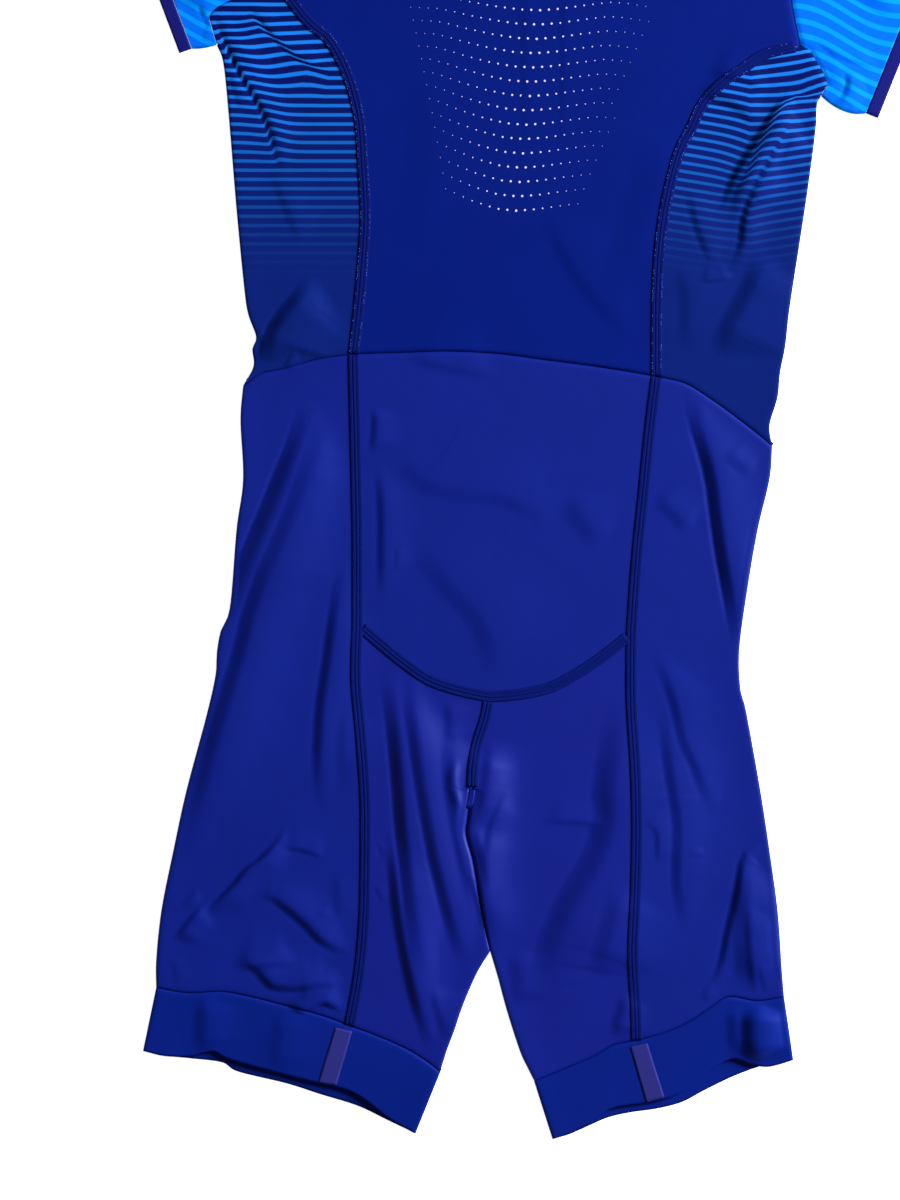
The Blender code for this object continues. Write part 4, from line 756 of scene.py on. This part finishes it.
def back_body():
    left, right = torso_edge("left"), torso_edge("right")
    lines = [np.vstack([left[-1], shoulder("left")[0]]), curve("neck_back")[2:-2],
             np.vstack([shoulder("right")[0], right[-1]])]
    top = np.vstack(lines)
    rows = coons(left, right, curve("waist_back"), top, 400)
    columns = cells(MESH["back_width"])
    quarter = columns // 4
    run = lengths(top) / lengths(top)[-1]
    marks = [0, run[1], run[-2], 1]
    ends = np.interp(np.arange(columns + 1), [0, quarter, columns - quarter, columns], marks)
    even = np.linspace(0, 1, columns + 1)
    grid = []
    for i, row in enumerate(rows):
        bend = (i / (len(rows) - 1)) ** 4
        u = ((1 - bend) * even + bend * ends) * (len(row) - 1)
        grid.append(np.column_stack([np.interp(u, np.arange(len(row)), row[:, k]) for k in (0, 1)]))
    grid = inset(np.array(grid), rows=(0, -1), columns=(0, -1))
    outer, inner = upper_layer(grid)
    spans = {"left": range(quarter + 1), "right": range(columns - quarter, columns + 1)}
    return Shell(*shoulder_turn(outer, inner, grid, False, spans))


def seat_grid(size):
    """Plan grid of the panel between waist and seat seam, on either layer."""
    length, width = MESH["seat"]
    count = cells(length, size)
    left = evenly(curve("seam_leg_left_upper"), count + 1)
    right = evenly(curve("seam_leg_right_upper"), count + 1)
    rows = coons(left, right, curve("waist_back"), seat_seam(), 160)
    grid = np.array([evenly(row, cells(width, size) + 1) for row in rows])
    return inset(grid, rows=(0, -1), columns=(0, -1))


def seat_panel():
    return Shell(*upper_layer(seat_grid(CELL)))


def zip_place(row):
    low, high = np.array(ZIP_END, dtype=float), np.array(ZIP_TOP, dtype=float)
    side = (row - low) @ np.array([high[1] - low[1], low[0] - high[0]])
    cross = int(np.argmax(side > 0))
    part = side[cross - 1] / (side[cross - 1] - side[cross])
    run = lengths(row)
    return run[cross - 1] + part * (run[cross] - run[cross - 1])


def split_row(row, half):
    """Points of a front row, with one column on each side of the zip."""
    middle = zip_place(row)
    left = np.linspace(0, middle - ZIP_TAPE / 2, half)
    right = np.linspace(middle + ZIP_TAPE / 2, lengths(row)[-1], half)
    return by_distance(row, np.concatenate([left, right]))


def front_body():
    """The front panel, the two edges of its zip slit and its neckline."""
    left, right = torso_edge("left")[::3], torso_edge("right")[::3]
    neck = curve("neck_front")
    top = np.vstack([left[-1], shoulder("left")[0], neck[2:-2], shoulder("right")[0], right[-1]])
    rows = coons(left, right, curve("waist_back"), top, 200)
    half = 24
    grid = np.array([split_row(row, half) for row in rows])
    neckline = split_row(neck, half - 8)
    side = np.linspace(0, 1, 9)[:, None]
    grid[-1] = np.vstack([(1 - side) * left[-1] + side * shoulder("left")[0], neckline[1:-1],
                          (1 - side) * shoulder("right")[0] + side * right[-1]])
    share = np.clip(np.linspace(-3, 1, len(rows)), 0, 1)[:, None, None] ** 2
    drift = grid[-1] - np.array(split_row(rows[-1], half))
    grid[:-1] += (share * drift)[:-1]
    slot = int(np.argmin(np.abs(grid[:, half, 1] - ZIP_END[1])))
    moved = inset(grid, rows=(0, -1), columns=(0, -1))
    spans = {"left": range(9), "right": range(2 * half - 9, 2 * half)}
    outer, inner, valid = shoulder_turn(*lower_layer(moved), moved, True, spans)
    holes = [(i, half - 1) for i in range(slot, len(rows) - 1)]
    return Shell(outer, inner, valid, holes=holes), moved[slot:, half - 1:half + 1], neckline


def front_brief():
    return Shell(*lower_layer(seat_grid(CELL_BELOW)))


def sleeve_and_cuff(hand):
    side = SIDES[hand]
    start = np.array(side["underarm"], dtype=float)
    corner = curve("armhole_side_" + hand)[::-1]
    armhole = torso_edge(hand)[119:]
    tip = np.array(side["shoulder"], dtype=float)
    line = np.vstack([evenly(np.vstack([start, corner[0]]), 8), evenly(corner, 24)[1:], armhole[1:-1], tip])
    line = joined(evenly(line[:31], 36), evenly(line[30:], 84))
    low, high = np.array(side["cuff_low"], dtype=float), np.array(side["cuff_high"], dtype=float)
    edge_low, edge_high = cuff_edge(side)
    share = (lengths(line) / lengths(line)[-1])[:, None]
    seam = (1 - share) * low + share * high
    rim = (1 - share) * edge_low + share * edge_high
    sleeve = ruled(line, seam, cells(MESH["sleeve"]), side["sag"])
    cuff = ruled(seam, rim, 6)
    return tube(sleeve, sleeve), tube(cuff, cuff)


def hem_band(hand):
    start = np.array(PLAN["hem_outer_" + hand][-1], dtype=float)
    stop = np.array(PLAN["hem_inner_" + hand][-1], dtype=float)
    rings = []
    for edge in ("edge_upper_", "edge_lower_"):
        seam = evenly(np.vstack([start, hem_seam(hand)[1:-1], stop]), cells(MESH["hem"]) + 1)
        rim = by_fraction(curve(edge + hand, 160), lengths(seam) / lengths(seam)[-1])
        rings.append(ruled(seam, rim, 24))
    return tube(*rings)


def strip(line, offsets, lifts, under):
    """A strip over the upper layer along a plan line, from its profile's offsets and lifts."""
    grid = line[:, None] + np.array(offsets)[None, :, None] * normals(line)[:, None]
    middle = TOP.at(line)[:, None]
    base = np.maximum(TOP.at(grid), 0.5 * (TOP.at(grid) + middle))
    outer = np.dstack([grid, base + np.array(lifts)])
    inner = np.dstack([grid, base + under + 0 * np.array(lifts)])
    return Shell(outer, inner)


def mirrored(values, sign=1):
    """The values from the middle outwards, with the same ones before them on the other side."""
    return [sign * value for value in values[:0:-1]] + values


# Across a seam cover: three rounded bands with the thread grooves between them.
COVER_OFFSETS = mirrored([0, 0.5, 1.05, 1.4, 1.75, 2.4, 3.4, 4.0, 4.3], -1)
COVER_LIFTS = mirrored([0.97, 0.94, 0.78, 0.46, 0.78, 0.9, 0.82, 0.62, 0.3])


def cover(line):
    return strip(evenly(line, cells(lengths(line)[-1], 1.8)), COVER_OFFSETS, COVER_LIFTS, COVER_LIFT)


def allowance(line):
    """The seam allowance inside a seam, just under the upper layer."""
    line = evenly(line, cells(lengths(line)[-1], 3.0))
    grid = line[:, None] + np.linspace(-2.5, 2.5, 5)[None, :, None] * normals(line)[:, None]
    under = upper_layer(grid)[1]
    return Shell(under - np.array([0, 0, 0.1]), under - np.array([0, 0, 0.45]))


def trimmed(line, start, stop):
    total = lengths(line)[-1]
    return by_distance(line, np.linspace(start, total - stop, 90))


def hem_tab(hand):
    a, b, c, d = [np.array(corner, dtype=float) for corner in SIDES[hand]["tab"]]
    s = np.linspace(0, 1, 24)[:, None, None]
    t = np.linspace(0, 1, 9)[None, :, None]
    grid = (1 - t) * ((1 - s) * a + s * c) + t * ((1 - s) * b + s * d)
    edge = np.full(9, 0.34)
    outer = np.dstack([grid, TOP.at(grid) + edge])
    return Shell(outer, np.dstack([grid, TOP.at(grid) + 0.12]))


def neck_binding(neckline):
    middle = np.mean([PLAN["neck_back"][0], PLAN["neck_back"][-1]], axis=0) + np.array([0.0, 20.0])
    ring = [evenly(curve("neck_back"), 60), evenly(neckline, 60)]
    hole = int(np.argmax(np.linalg.norm(np.diff(neckline, axis=0), axis=1)))
    run = lengths(neckline) / lengths(neckline)[-1]
    places = np.interp(np.arange(60), [0, 29, 30, 59], [0, run[hole], run[hole + 1], 1])
    ring[1] = by_fraction(neckline, places)
    rows = []
    for line in ring:
        rims = np.array([point + NECK_BINDING * unit(middle - point) for point in line])
        rows.append(ruled(line, rims, 5))
    slit = 60 + TURN_STEPS - 1 + 29
    return tube(*rows, holes=[(i, slit) for i in range(5)]), rows[1][-1][29:31]


def front_zip(edges, top):
    """The tapes, and the chain as a raised strip between them."""
    rows, highs = [], []
    rungs = np.concatenate([evenly(edges[:, 0], 60)[:, None], evenly(edges[:, 1], 60)[:, None]], axis=1)
    rungs = np.concatenate([rungs, top[None]])
    for left, right in rungs:
        along = unit(right - left)
        middle = 0.5 * (left + right)
        chain = 0.5 * ZIP_CHAIN
        rows.append([left + SEAM_GAP * along, middle - (chain + 0.4) * along, middle - chain * along,
                     middle - 0.3 * along, middle + 0.3 * along, middle + chain * along,
                     middle + (chain + 0.4) * along, right - SEAM_GAP * along])
        highs.append([0.8, 0.8, 1.5, 1.5, 1.5, 1.5, 0.8, 0.8])
    grid = np.array(rows)[::-1]
    return Shell(np.dstack([grid, np.array(highs)]), np.dstack([grid, np.zeros(grid.shape[:2])]))


# Materials

def linear(colour, light=1.0):
    """A colour as seen, 0 to 255, under light times the even light of the scene."""
    shares = [value / 255 for value in colour]
    return [(share / 12.92 if share <= 0.04045 else ((share + 0.055) / 1.055) ** 2.4) / light
            for share in shares] + [1.0]


def dyed(colour):
    """The cloth's own colour, from the colour that it shows in the studio's light."""
    return linear(colour, STUDIO)


class Look:
    """A node material, built step by step."""

    def __init__(self, name, roughness, specular, sheen=0.0, tint=(190, 210, 255)):
        self.material = bpy.data.materials.new(name)
        self.material.use_nodes = True
        self.tree = self.material.node_tree
        self.shader = self.tree.nodes["Principled BSDF"]
        self.shader.inputs["Roughness"].default_value = roughness
        self.shader.inputs["Specular IOR Level"].default_value = specular
        self.shader.inputs["Sheen Weight"].default_value = sheen
        self.shader.inputs["Sheen Roughness"].default_value = 0.4
        self.shader.inputs["Specular Tint"].default_value = linear(tint)
        self.shader.inputs["Sheen Tint"].default_value = linear(tint)
        self.place = self.add("ShaderNodeTexCoord").outputs["Object"]
        self.cut = self.add("ShaderNodeUVMap", uv_map="cut").outputs["UV"]

    def add(self, kind, **settings):
        node = self.tree.nodes.new(kind)
        for key, value in settings.items():
            setattr(node, key, value)
        return node

    def link(self, source, target):
        if isinstance(source, (int, float, tuple, list)):
            target.default_value = source
        else:
            self.tree.links.new(source, target)

    def math(self, operation, *values):
        node = self.add("ShaderNodeMath", operation=operation)
        for socket, value in zip(node.inputs, values):
            self.link(value, socket)
        return node.outputs[0]

    def split(self, vector):
        node = self.add("ShaderNodeSeparateXYZ")
        self.link(vector, node.inputs[0])
        return node.outputs

    def noise(self, scale, detail=2.0, vector=None):
        node = self.add("ShaderNodeTexNoise")
        node.inputs["Scale"].default_value = scale
        node.inputs["Detail"].default_value = detail
        self.link(vector or self.place, node.inputs["Vector"])
        return node.outputs["Fac"]

    def span(self, value, low, high, to_low, to_high, smooth_step=False):
        node = self.add("ShaderNodeMapRange", interpolation_type="SMOOTHSTEP" if smooth_step else "LINEAR")
        for socket, number in zip(node.inputs, (value, low, high, to_low, to_high)):
            self.link(number, socket)
        return node.outputs[0]

    def band(self, value, start, full, fading, gone):
        """1 between full and fading, 0 up to start and from gone on."""
        return self.math("MINIMUM", self.span(value, start, full, 0, 1, True),
                         self.span(value, fading, gone, 1, 0, True))

    def mix(self, share, first, second, blend="MIX"):
        node = self.add("ShaderNodeMix", data_type="RGBA", blend_type=blend)
        self.link(share, node.inputs[0])
        self.link(first, node.inputs[6])
        self.link(second, node.inputs[7])
        return node.outputs[2]

    def bump(self, value, distance, strength=1.0, before=None):
        node = self.add("ShaderNodeBump")
        node.inputs["Strength"].default_value = strength
        node.inputs["Distance"].default_value = distance
        self.link(value, node.inputs["Height"])
        if before:
            self.link(before, node.inputs["Normal"])
        return node.outputs[0]

    def grey(self, value):
        node = self.add("ShaderNodeCombineColor")
        for socket in node.inputs:
            self.link(value, socket)
        return node.outputs[0]

    def finish(self, colour, normal=None):
        self.link(colour, self.shader.inputs["Base Color"])
        if normal:
            self.link(normal, self.shader.inputs["Normal"])
        return self.material


def knit(look, colour, grain=0.10, relief_height=0.00022, scale=1.0):
    """Knitted cloth: fine ribs, a fine grain and slow changes of tone over the given colour."""
    x, y, _ = look.split(look.cut)
    ribs = look.math("SINE", look.math("MULTIPLY", x, 2 * math.pi / (0.0011 * scale)))
    courses = look.math("SINE", look.math("MULTIPLY", y, 2 * math.pi / (0.0009 * scale)))
    weave = look.math("MULTIPLY", ribs, courses)
    fine = look.noise(1500, 2.0)
    slow = look.noise(14, 3.0)
    fine, slow = look.span(fine, 0.3, 0.7, 1 - grain, 1 + grain), look.span(slow, 0.3, 0.7, -0.05, 0.05)
    tone = look.math("ADD", fine, slow)
    shaded = look.mix(1.0, colour, look.grey(tone), "MULTIPLY")
    soft = look.bump(look.noise(55, 2.0), relief_height, 0.8)
    return shaded, look.bump(weave, 0.00004, 0.5, soft)


def plain_cloth(name, colour, roughness, specular, **options):
    look = Look(name, roughness, specular)
    return look.finish(*knit(look, dyed(colour), **options))


def striped_cloth(name):
    """Narrow bright stripes on navy at the top, fading into an even blue towards the waist."""
    look = Look(name, 0.6, 0.04)
    _, y, _ = look.split(look.cut)
    wave = look.math("FRACT", look.math("DIVIDE", y, STRIPE_STEP * MM))
    bright = look.band(wave, 0.0, 0.1, 0.36, 0.46)
    place_y = look.split(look.place)[1]
    fade = look.span(place_y, WORLD_FADE[1], WORLD_FADE[0], 0, 1, True)
    top = look.mix(bright, dyed(STRIPE_DARK), dyed(STRIPE_BRIGHT))
    colour = look.mix(fade, dyed(STRIPE_EVEN), top)
    return look.finish(*knit(look, colour, grain=0.06))


def waved_cloth(name):
    """Slanting wavy bands in two light blues."""
    look = Look(name, 0.6, 0.04)
    x, y, _ = look.split(look.cut)
    turn = look.math("MULTIPLY", look.math("SUBTRACT", x, 0.277), 2 * math.pi / 0.1)
    sway = look.math("MULTIPLY", look.math("SINE", turn), 0.0050)
    slant = look.math("ADD", look.math("ADD", y, look.math("MULTIPLY", x, 0.3)), sway)
    wave = look.math("FRACT", look.math("DIVIDE", look.math("SUBTRACT", slant, 0.003), 0.0110))
    light = look.band(wave, 0.0, 0.12, 0.38, 0.5)
    colour = look.mix(light, dyed((0, 106, 240)), dyed((0, 144, 250)))
    return look.finish(*knit(look, colour, grain=0.05))


def thread_cloth(name, colour):
    look = Look(name, 0.7, 0.02)
    shade = look.mix(look.noise(900, 1.0), dyed(colour), dyed(tuple(min(255, c * 1.3) for c in colour)))
    return look.finish(shade)


# The suit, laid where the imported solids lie

TAB_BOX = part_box("hem_tab_left")
OFFSET = np.array([min(corner[0] for corner in SIDES["left"]["tab"]) - TAB_BOX[0].x / MM,
                   min(corner[1] for corner in SIDES["left"]["tab"]) - TAB_BOX[0].y / MM, 0.0])
STRIPE_DARK, STRIPE_BRIGHT, STRIPE_EVEN = (4, 14, 88), (22, 122, 232), (8, 30, 112)
# From where the stripes are at their strongest to where they have gone, in plan.
FADE_TOP, FADE_END = plan_of([(300, 20), (300, 285)])[:, 1]
WORLD_FADE = ((FADE_TOP - OFFSET[1]) * MM, (FADE_END - OFFSET[1]) * MM)

STRIPE_STEP = 7.3          # from stripe to stripe in the cut coordinates, and as the panels show them
STRIPE_STEPS = {"left": 7.0, "right": 6.6}
STRIPE_TURN = 2.4          # half the width over which stripes pass from one side of a crease to the other

# Where stripes jump at a crease: route in photo pixels, rise of the stripes in pixels just to the left of
# it and just to the right of it, and over how many pixels that fades.
STRIPE_SHIFTS = [
    ([(214, 24), (230, 56), (248, 86), (264, 118), (272, 146), (281, 170)], -2.0, 5.0, 17),
    ([(250, 12), (264, 30), (281, 44), (296, 58), (312, 67), (330, 72)], 6.0, -2.0, 22),
    ([(829, 89), (812, 97), (797, 97), (783, 105), (770, 126), (757, 152), (746, 178),
      (735, 198)], -5.0, 3.0, 24),
    ([(792, 117), (780, 140), (768, 162), (752, 192), (741, 228), (733, 260)], 1.5, -1.5, 16),
]


def stripe_uv(places):
    """Cut coordinates of the striped panels: the stripes follow the creases."""
    rise = np.zeros(places.shape[:-1])
    for route, left, right, reach in STRIPE_SHIFTS:
        line = smooth(plan_of(route), ROUTE_POINTS)
        away, hand, along = distance_to(line, places)
        ends = np.clip(np.minimum(along, 1 - along) * 5, 0, 1)
        over = ease(away * hand / (2 * STRIPE_TURN) + 0.5)
        size = (left + (right - left) * over) * PIXEL
        rise += size * np.exp(-(away / (reach * PIXEL)) ** 2) * ends
    x, y = places[..., 0], places[..., 1]
    lean = np.where(x > 0, 0.16 * np.abs(x - 205), 0.0)
    tight = np.where(x > 0, STRIPE_STEP / STRIPE_STEPS["right"], STRIPE_STEP / STRIPE_STEPS["left"])
    return np.stack([x, (y - rise - lean) * tight], axis=-1)


def put(name, data):
    made = bpy.data.objects.new(name, data)
    bpy.context.scene.collection.objects.link(made)
    return made


def mesh_object(name, verts, quads, material, uv=None):
    """A smooth mesh from plan millimetres and quads, with its cut coordinates."""
    used, quads = np.unique(quads, return_inverse=True)
    quads = quads.reshape(-1, 4)
    data = bpy.data.meshes.new(name)
    data.vertices.add(len(used))
    data.vertices.foreach_set("co", ((verts[used] - OFFSET) * MM).astype(np.float32).ravel())
    data.loops.add(quads.size)
    data.loops.foreach_set("vertex_index", quads.astype(np.int32).ravel())
    data.polygons.add(len(quads))
    data.polygons.foreach_set("loop_start", np.arange(0, quads.size, 4, dtype=np.int32))
    data.update(calc_edges=True)
    layer = data.uv_layers.new(name="cut")
    flat = (verts[used, :2] if uv is None else uv[used]) * MM
    layer.data.foreach_set("uv", flat[quads.ravel()].astype(np.float32).ravel())
    data.shade_smooth()
    data.materials.append(material)
    made = put(name, data)
    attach(made, "root")
    return made


# Sheets of cloth by their node, and the small pieces that lie on each.
RIDERS = {}


def lay(node, shell, material, uv=None, on=None):
    """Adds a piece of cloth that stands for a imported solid: a sheet, or a piece that lies on one."""
    verts, quads = shell.mesh()
    made = mesh_object("cloth_" + node, verts, quads, material, None if uv is None else uv(verts[:, :2]))
    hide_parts(node)
    if on:
        ride_on(on, made)
    else:
        shell.cut()
    return made


def ride_on(node, *pieces):
    RIDERS.setdefault(node, []).extend(pieces)


STITCH = (1.1, 0.42, 0.22)       # length, width and height of a stitch
HEM_STITCH = (1.2, 0.4, 0.12)


def small_parts(name, centres, along, size, material):
    """Many small raised lozenges as one mesh: a stitch each, at its centre, turned along the seam."""
    length, width, high = size
    along = along / np.linalg.norm(along, axis=1)[:, None]
    across = np.column_stack([-along[:, 1], along[:, 0], np.zeros(len(along))])
    shape = [(-0.5, 0, 0), (-0.2, -0.5, 0), (0.2, -0.5, 0), (0.5, 0, 0), (0.2, 0.5, 0), (-0.2, 0.5, 0),
             (-0.2, 0, 1), (0.2, 0, 1)]
    verts = np.stack([centres + a * length * along + b * width * across + np.array([0, 0, c * high])
                      for a, b, c in shape], axis=1)
    faces = np.array([(0, 1, 6, 6), (1, 2, 7, 6), (2, 3, 7, 7), (3, 4, 7, 7), (4, 5, 6, 7), (5, 0, 6, 6)])
    return tris_object(name, verts, faces, material)


def tris_object(name, verts, faces, material):
    """A joined mesh of equal small shapes; a face may repeat its last corner for a triangle."""
    count, corners = verts.shape[:2]
    polygons = [[int(v) for v in dict.fromkeys(face)] for face in faces.tolist()]
    every = [[v + k * corners for v in face] for k in range(count) for face in polygons]
    data = bpy.data.meshes.new(name)
    data.from_pydata(((verts.reshape(-1, 3) - OFFSET) * MM).tolist(), [], every)
    data.shade_smooth()
    data.materials.append(material)
    made = put(name, data)
    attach(made, "root")
    return made


def stitch_rows(lines, offsets, pitch, lift, wobble=0.0):
    """Centres and directions of stitches in rows beside plan lines."""
    dice = np.random.default_rng(4)
    centres, ways = [], []
    for line in lines:
        for n, offset in enumerate(offsets):
            count = int(lengths(line)[-1] / pitch)
            places = (np.arange(count) + 0.5 + 0.5 * (n % 2)) * pitch
            spots = by_distance(line, places)
            ahead = by_distance(line, places + 0.6)
            back = by_distance(line, places - 0.6)
            way = ahead - back
            norm = np.column_stack([-way[:, 1], way[:, 0]]) / np.linalg.norm(way, axis=1)[:, None]
            spots = spots + offset * norm + dice.normal(0, wobble + 1e-6, spots.shape)
            centres.append(np.column_stack([spots, TOP.at(spots) + lift]))
            ways.append(np.column_stack([way, np.zeros(len(way))]))
    return np.vstack(centres), np.vstack(ways)


# How far a row of dots has risen at each place across it, in pixels.
ROW_PLACES = [-128, -100, -86, -70, -45, -20, 0, 20, 45, 70, 86, 110]
ROW_LIFTS = [15.5, 14.5, 12, 8.5, 4, 0.8, 0, 1.5, 5, 8, 7, 3]


def perforations():
    """Small light dots in curved rows over the back, the largest in the middle."""
    centres, sizes = [], []
    for row in range(-9, 15):
        middle = np.array([540.0, 11.0]) + row * np.array([-1.71, 14.3])
        reach = np.interp(row, [-9, -4, 2, 14], [40, 128, 128, 78])
        for k in range(-15, 16):
            away = 8.8 * (k + 0.5 * (row % 2))
            if -reach < away < 0.86 * reach:
                lift = np.interp(away, ROW_PLACES, ROW_LIFTS)
                if away < 0:
                    lift *= 1 + 0.11 * max(row, 0)
                centres.append(middle + np.array([away, -lift]))
                share = abs(away) / (reach if away < 0 else 0.86 * reach)
                sizes.append(0.2 + 0.72 * max(0.0, 1 - share) ** 1.2)
    return plan_of(centres), np.array(sizes)


def dots(name, centres, radii, lift, material):
    turn = np.linspace(0, 2 * np.pi, 8, endpoint=False)
    ring = np.column_stack([np.cos(turn), np.sin(turn)])
    verts = centres[:, None] + radii[:, None, None] * ring[None]
    tops = TOP.at(centres)[:, None] + lift + 0 * turn[None]
    return tris_object(name, np.dstack([verts, tops]), np.array([range(8)]), material)


def build():
    torso = plain_cloth("torso_knit", (3, 24, 117), 0.7, 0.04)
    shorts = plain_cloth("shorts_knit", (6, 26, 128), 0.6, 0.12)
    satin = plain_cloth("satin_knit", (6, 23, 130), 0.48, 0.22, relief_height=0.0001)
    band = plain_cloth("gripper_knit", (6, 29, 126), 0.55, 0.05, grain=0.04)
    binding = plain_cloth("binding_knit", (22, 24, 112), 0.65, 0.05, grain=0.16)
    tab = plain_cloth("tab_cloth", (44, 44, 124), 0.6, 0.06, grain=0.04)
    tape = plain_cloth("zip_cloth", (14, 18, 70), 0.6, 0.2)
    stripes, waves = striped_cloth("striped_knit"), waved_cloth("wave_knit")
    cover_look = thread_cloth("cover_thread", (7, 18, 84))
    speck = thread_cloth("light_thread", (66, 108, 200))
    dark_thread = thread_cloth("dark_thread", (14, 34, 118))
    dot_look = Look("perforation", 0.6, 0.1).finish(dyed((225, 215, 250)))

    front, zip_edges, neckline = front_body()
    binding_shell, zip_top = neck_binding(neckline)
    holes, radii = perforations()
    marks = dots("perforation_dots", holes, radii, 0.05, dot_look)
    ride_on("back_body", marks)
    lay("back_body", back_body(), torso)
    lay("front_body", front, torso)
    lay("neck_binding", binding_shell, binding, on="back_body")
    lay("front_zip", front_zip(zip_edges, zip_top), tape)
    lay("seat_panel", seat_panel(), shorts)
    lay("front_brief", front_brief(), shorts)
    for hand in SIDES:
        outer, inner = outer_leg(hand), inner_leg(hand)
        sleeve, cuff = sleeve_and_cuff(hand)
        lay("side_panel_" + hand, side_panel(hand), stripes, uv=stripe_uv)
        lay("outer_leg_" + hand, outer, shorts)
        lay("inner_leg_" + hand, inner, satin)
        lay("sleeve_" + hand, sleeve, waves)
        lay("cuff_" + hand, cuff, binding, on="sleeve_" + hand)
        lay("hem_band_" + hand, hem_band(hand), band)
        lay("hem_tab_" + hand, hem_tab(hand), tab, on="hem_band_" + hand)
        back = trimmed(curve("seam_back_" + hand), 0.5, 4)
        leg = trimmed(leg_seam(hand), 0.5, 0.5)
        lay("cover_back_" + hand, cover(back), cover_look, on="back_body")
        lay("cover_leg_" + hand, cover(leg), cover_look, on="outer_leg_" + hand)
        for part, line, host in (("back", back, "back_body"), ("leg", leg, "outer_leg_" + hand)):
            spots, ways = stitch_rows([line], (-1.9, 0.0, 1.9), 1.7, 0.86, 0.12)
            ride_on(host, small_parts("stitches_%s_%s" % (part, hand), spots, ways, STITCH, dark_thread))
            spots, ways = stitch_rows([line], (-3.3, 3.3), 1.9, 0.8, 0.16)
            shown = np.random.default_rng(7).random(len(spots)) < 0.38
            look = speck if part == "back" else dark_thread
            ride_on(host, small_parts("specks_%s_%s" % (part, hand), spots[shown], ways[shown], STITCH, look))
        spots, ways = stitch_rows([trimmed(hem_seam(hand), 4, 4)], (6.6, 10.8), 2.3, 0.02)
        ride_on("hem_band_" + hand, small_parts("hem_stitches_" + hand, spots, ways, HEM_STITCH, dark_thread))
    waist = joined(curve("waist_left")[::-1], curve("waist_back"), curve("waist_right"))
    crotch = joined(curve("centre"), curve("inseam_touching")[:10])
    seams = [("waist", waist, shorts, "seat_panel"), ("centre", crotch, satin, "seat_panel")]
    for hand in SIDES:
        armhole = joined(curve("armhole_side_" + hand)[::-1], curve("armhole_back_" + hand))
        seams.append(("hem_" + hand, hem_seam(hand), band, "hem_band_" + hand))
        seams.append(("armhole_" + hand, armhole, torso, "sleeve_" + hand))
    for name, line, look, host in seams:
        inside = mesh_object("allowance_" + name, *allowance(trimmed(line, 5, 0.5)).mesh(), look)
        ride_on(host, inside)
    seat = trimmed(seat_seam(), 4.6, 4.6)
    centre = trimmed(curve("centre"), 4.0, 3)
    lay("cover_seat", cover(seat), cover_look, on="seat_panel")
    middle = mesh_object("cover_centre", *cover(centre).mesh(), cover_look)
    ride_on("seat_panel", middle)
    spots, ways = stitch_rows([seat, centre], (-3.2, -1.9, 1.9, 3.2, 0.0), 1.7, 0.86, 0.12)
    ride_on("seat_panel", small_parts("stitches_seat", spots, ways, STITCH, dark_thread))


FLOOR_SIZE, FLOOR_GLOW = 6, 0.85      # metres, and emission that keeps the floor white
CAMERA_HEIGHT = 3.0                   # metres above the floor
PICTURE_CENTRE, PICTURE_TALL = (450, 600), 1200   # of the photograph, in its pixels
LAMP_PLACE, LAMP_SIZE, LAMP_WATTS = (3.8, 1.6, 2.1), (1.6, 2.0), 760
WORLD_LIGHT = 0.2


def stage():
    """Floor, camera and soft light from the right."""
    bpy.ops.mesh.primitive_plane_add(size=FLOOR_SIZE, location=(0, 0, -0.0001))
    floor = bpy.context.object
    floor.name = "floor"
    look = Look("pale_floor", 0.9, 0.0)
    look.shader.inputs["Emission Color"].default_value = (1, 1, 1, 1)
    look.shader.inputs["Emission Strength"].default_value = FLOOR_GLOW
    floor.data.materials.append(look.finish(linear((252, 252, 252))))

    camera = put("camera", bpy.data.cameras.new("camera"))
    centre = (plan_of([PICTURE_CENTRE])[0] - OFFSET[:2]) * MM
    camera.location = (centre[0], centre[1], CAMERA_HEIGHT)
    camera.data.lens = camera.data.sensor_width * CAMERA_HEIGHT / (PICTURE_TALL * PIXEL * MM)
    camera.data.clip_end = 20
    bpy.context.scene.camera = camera

    key = bpy.data.lights.new("key", "AREA")
    key.shape, key.energy = "RECTANGLE", LAMP_WATTS
    key.size, key.size_y = LAMP_SIZE
    lamp = put("key", key)
    lamp.location = LAMP_PLACE
    lamp.rotation_mode = "QUATERNION"
    lamp.rotation_quaternion = (-lamp.location).to_track_quat("-Z", "Y")

    world = bpy.data.worlds.new("studio")
    world.use_nodes = True
    world.node_tree.nodes["Background"].inputs["Color"].default_value = (1, 1, 1, 1)
    world.node_tree.nodes["Background"].inputs["Strength"].default_value = WORLD_LIGHT
    bpy.context.scene.world = world
    bpy.context.scene.view_settings.view_transform = "Standard"
    return floor


floor = stage()
build()
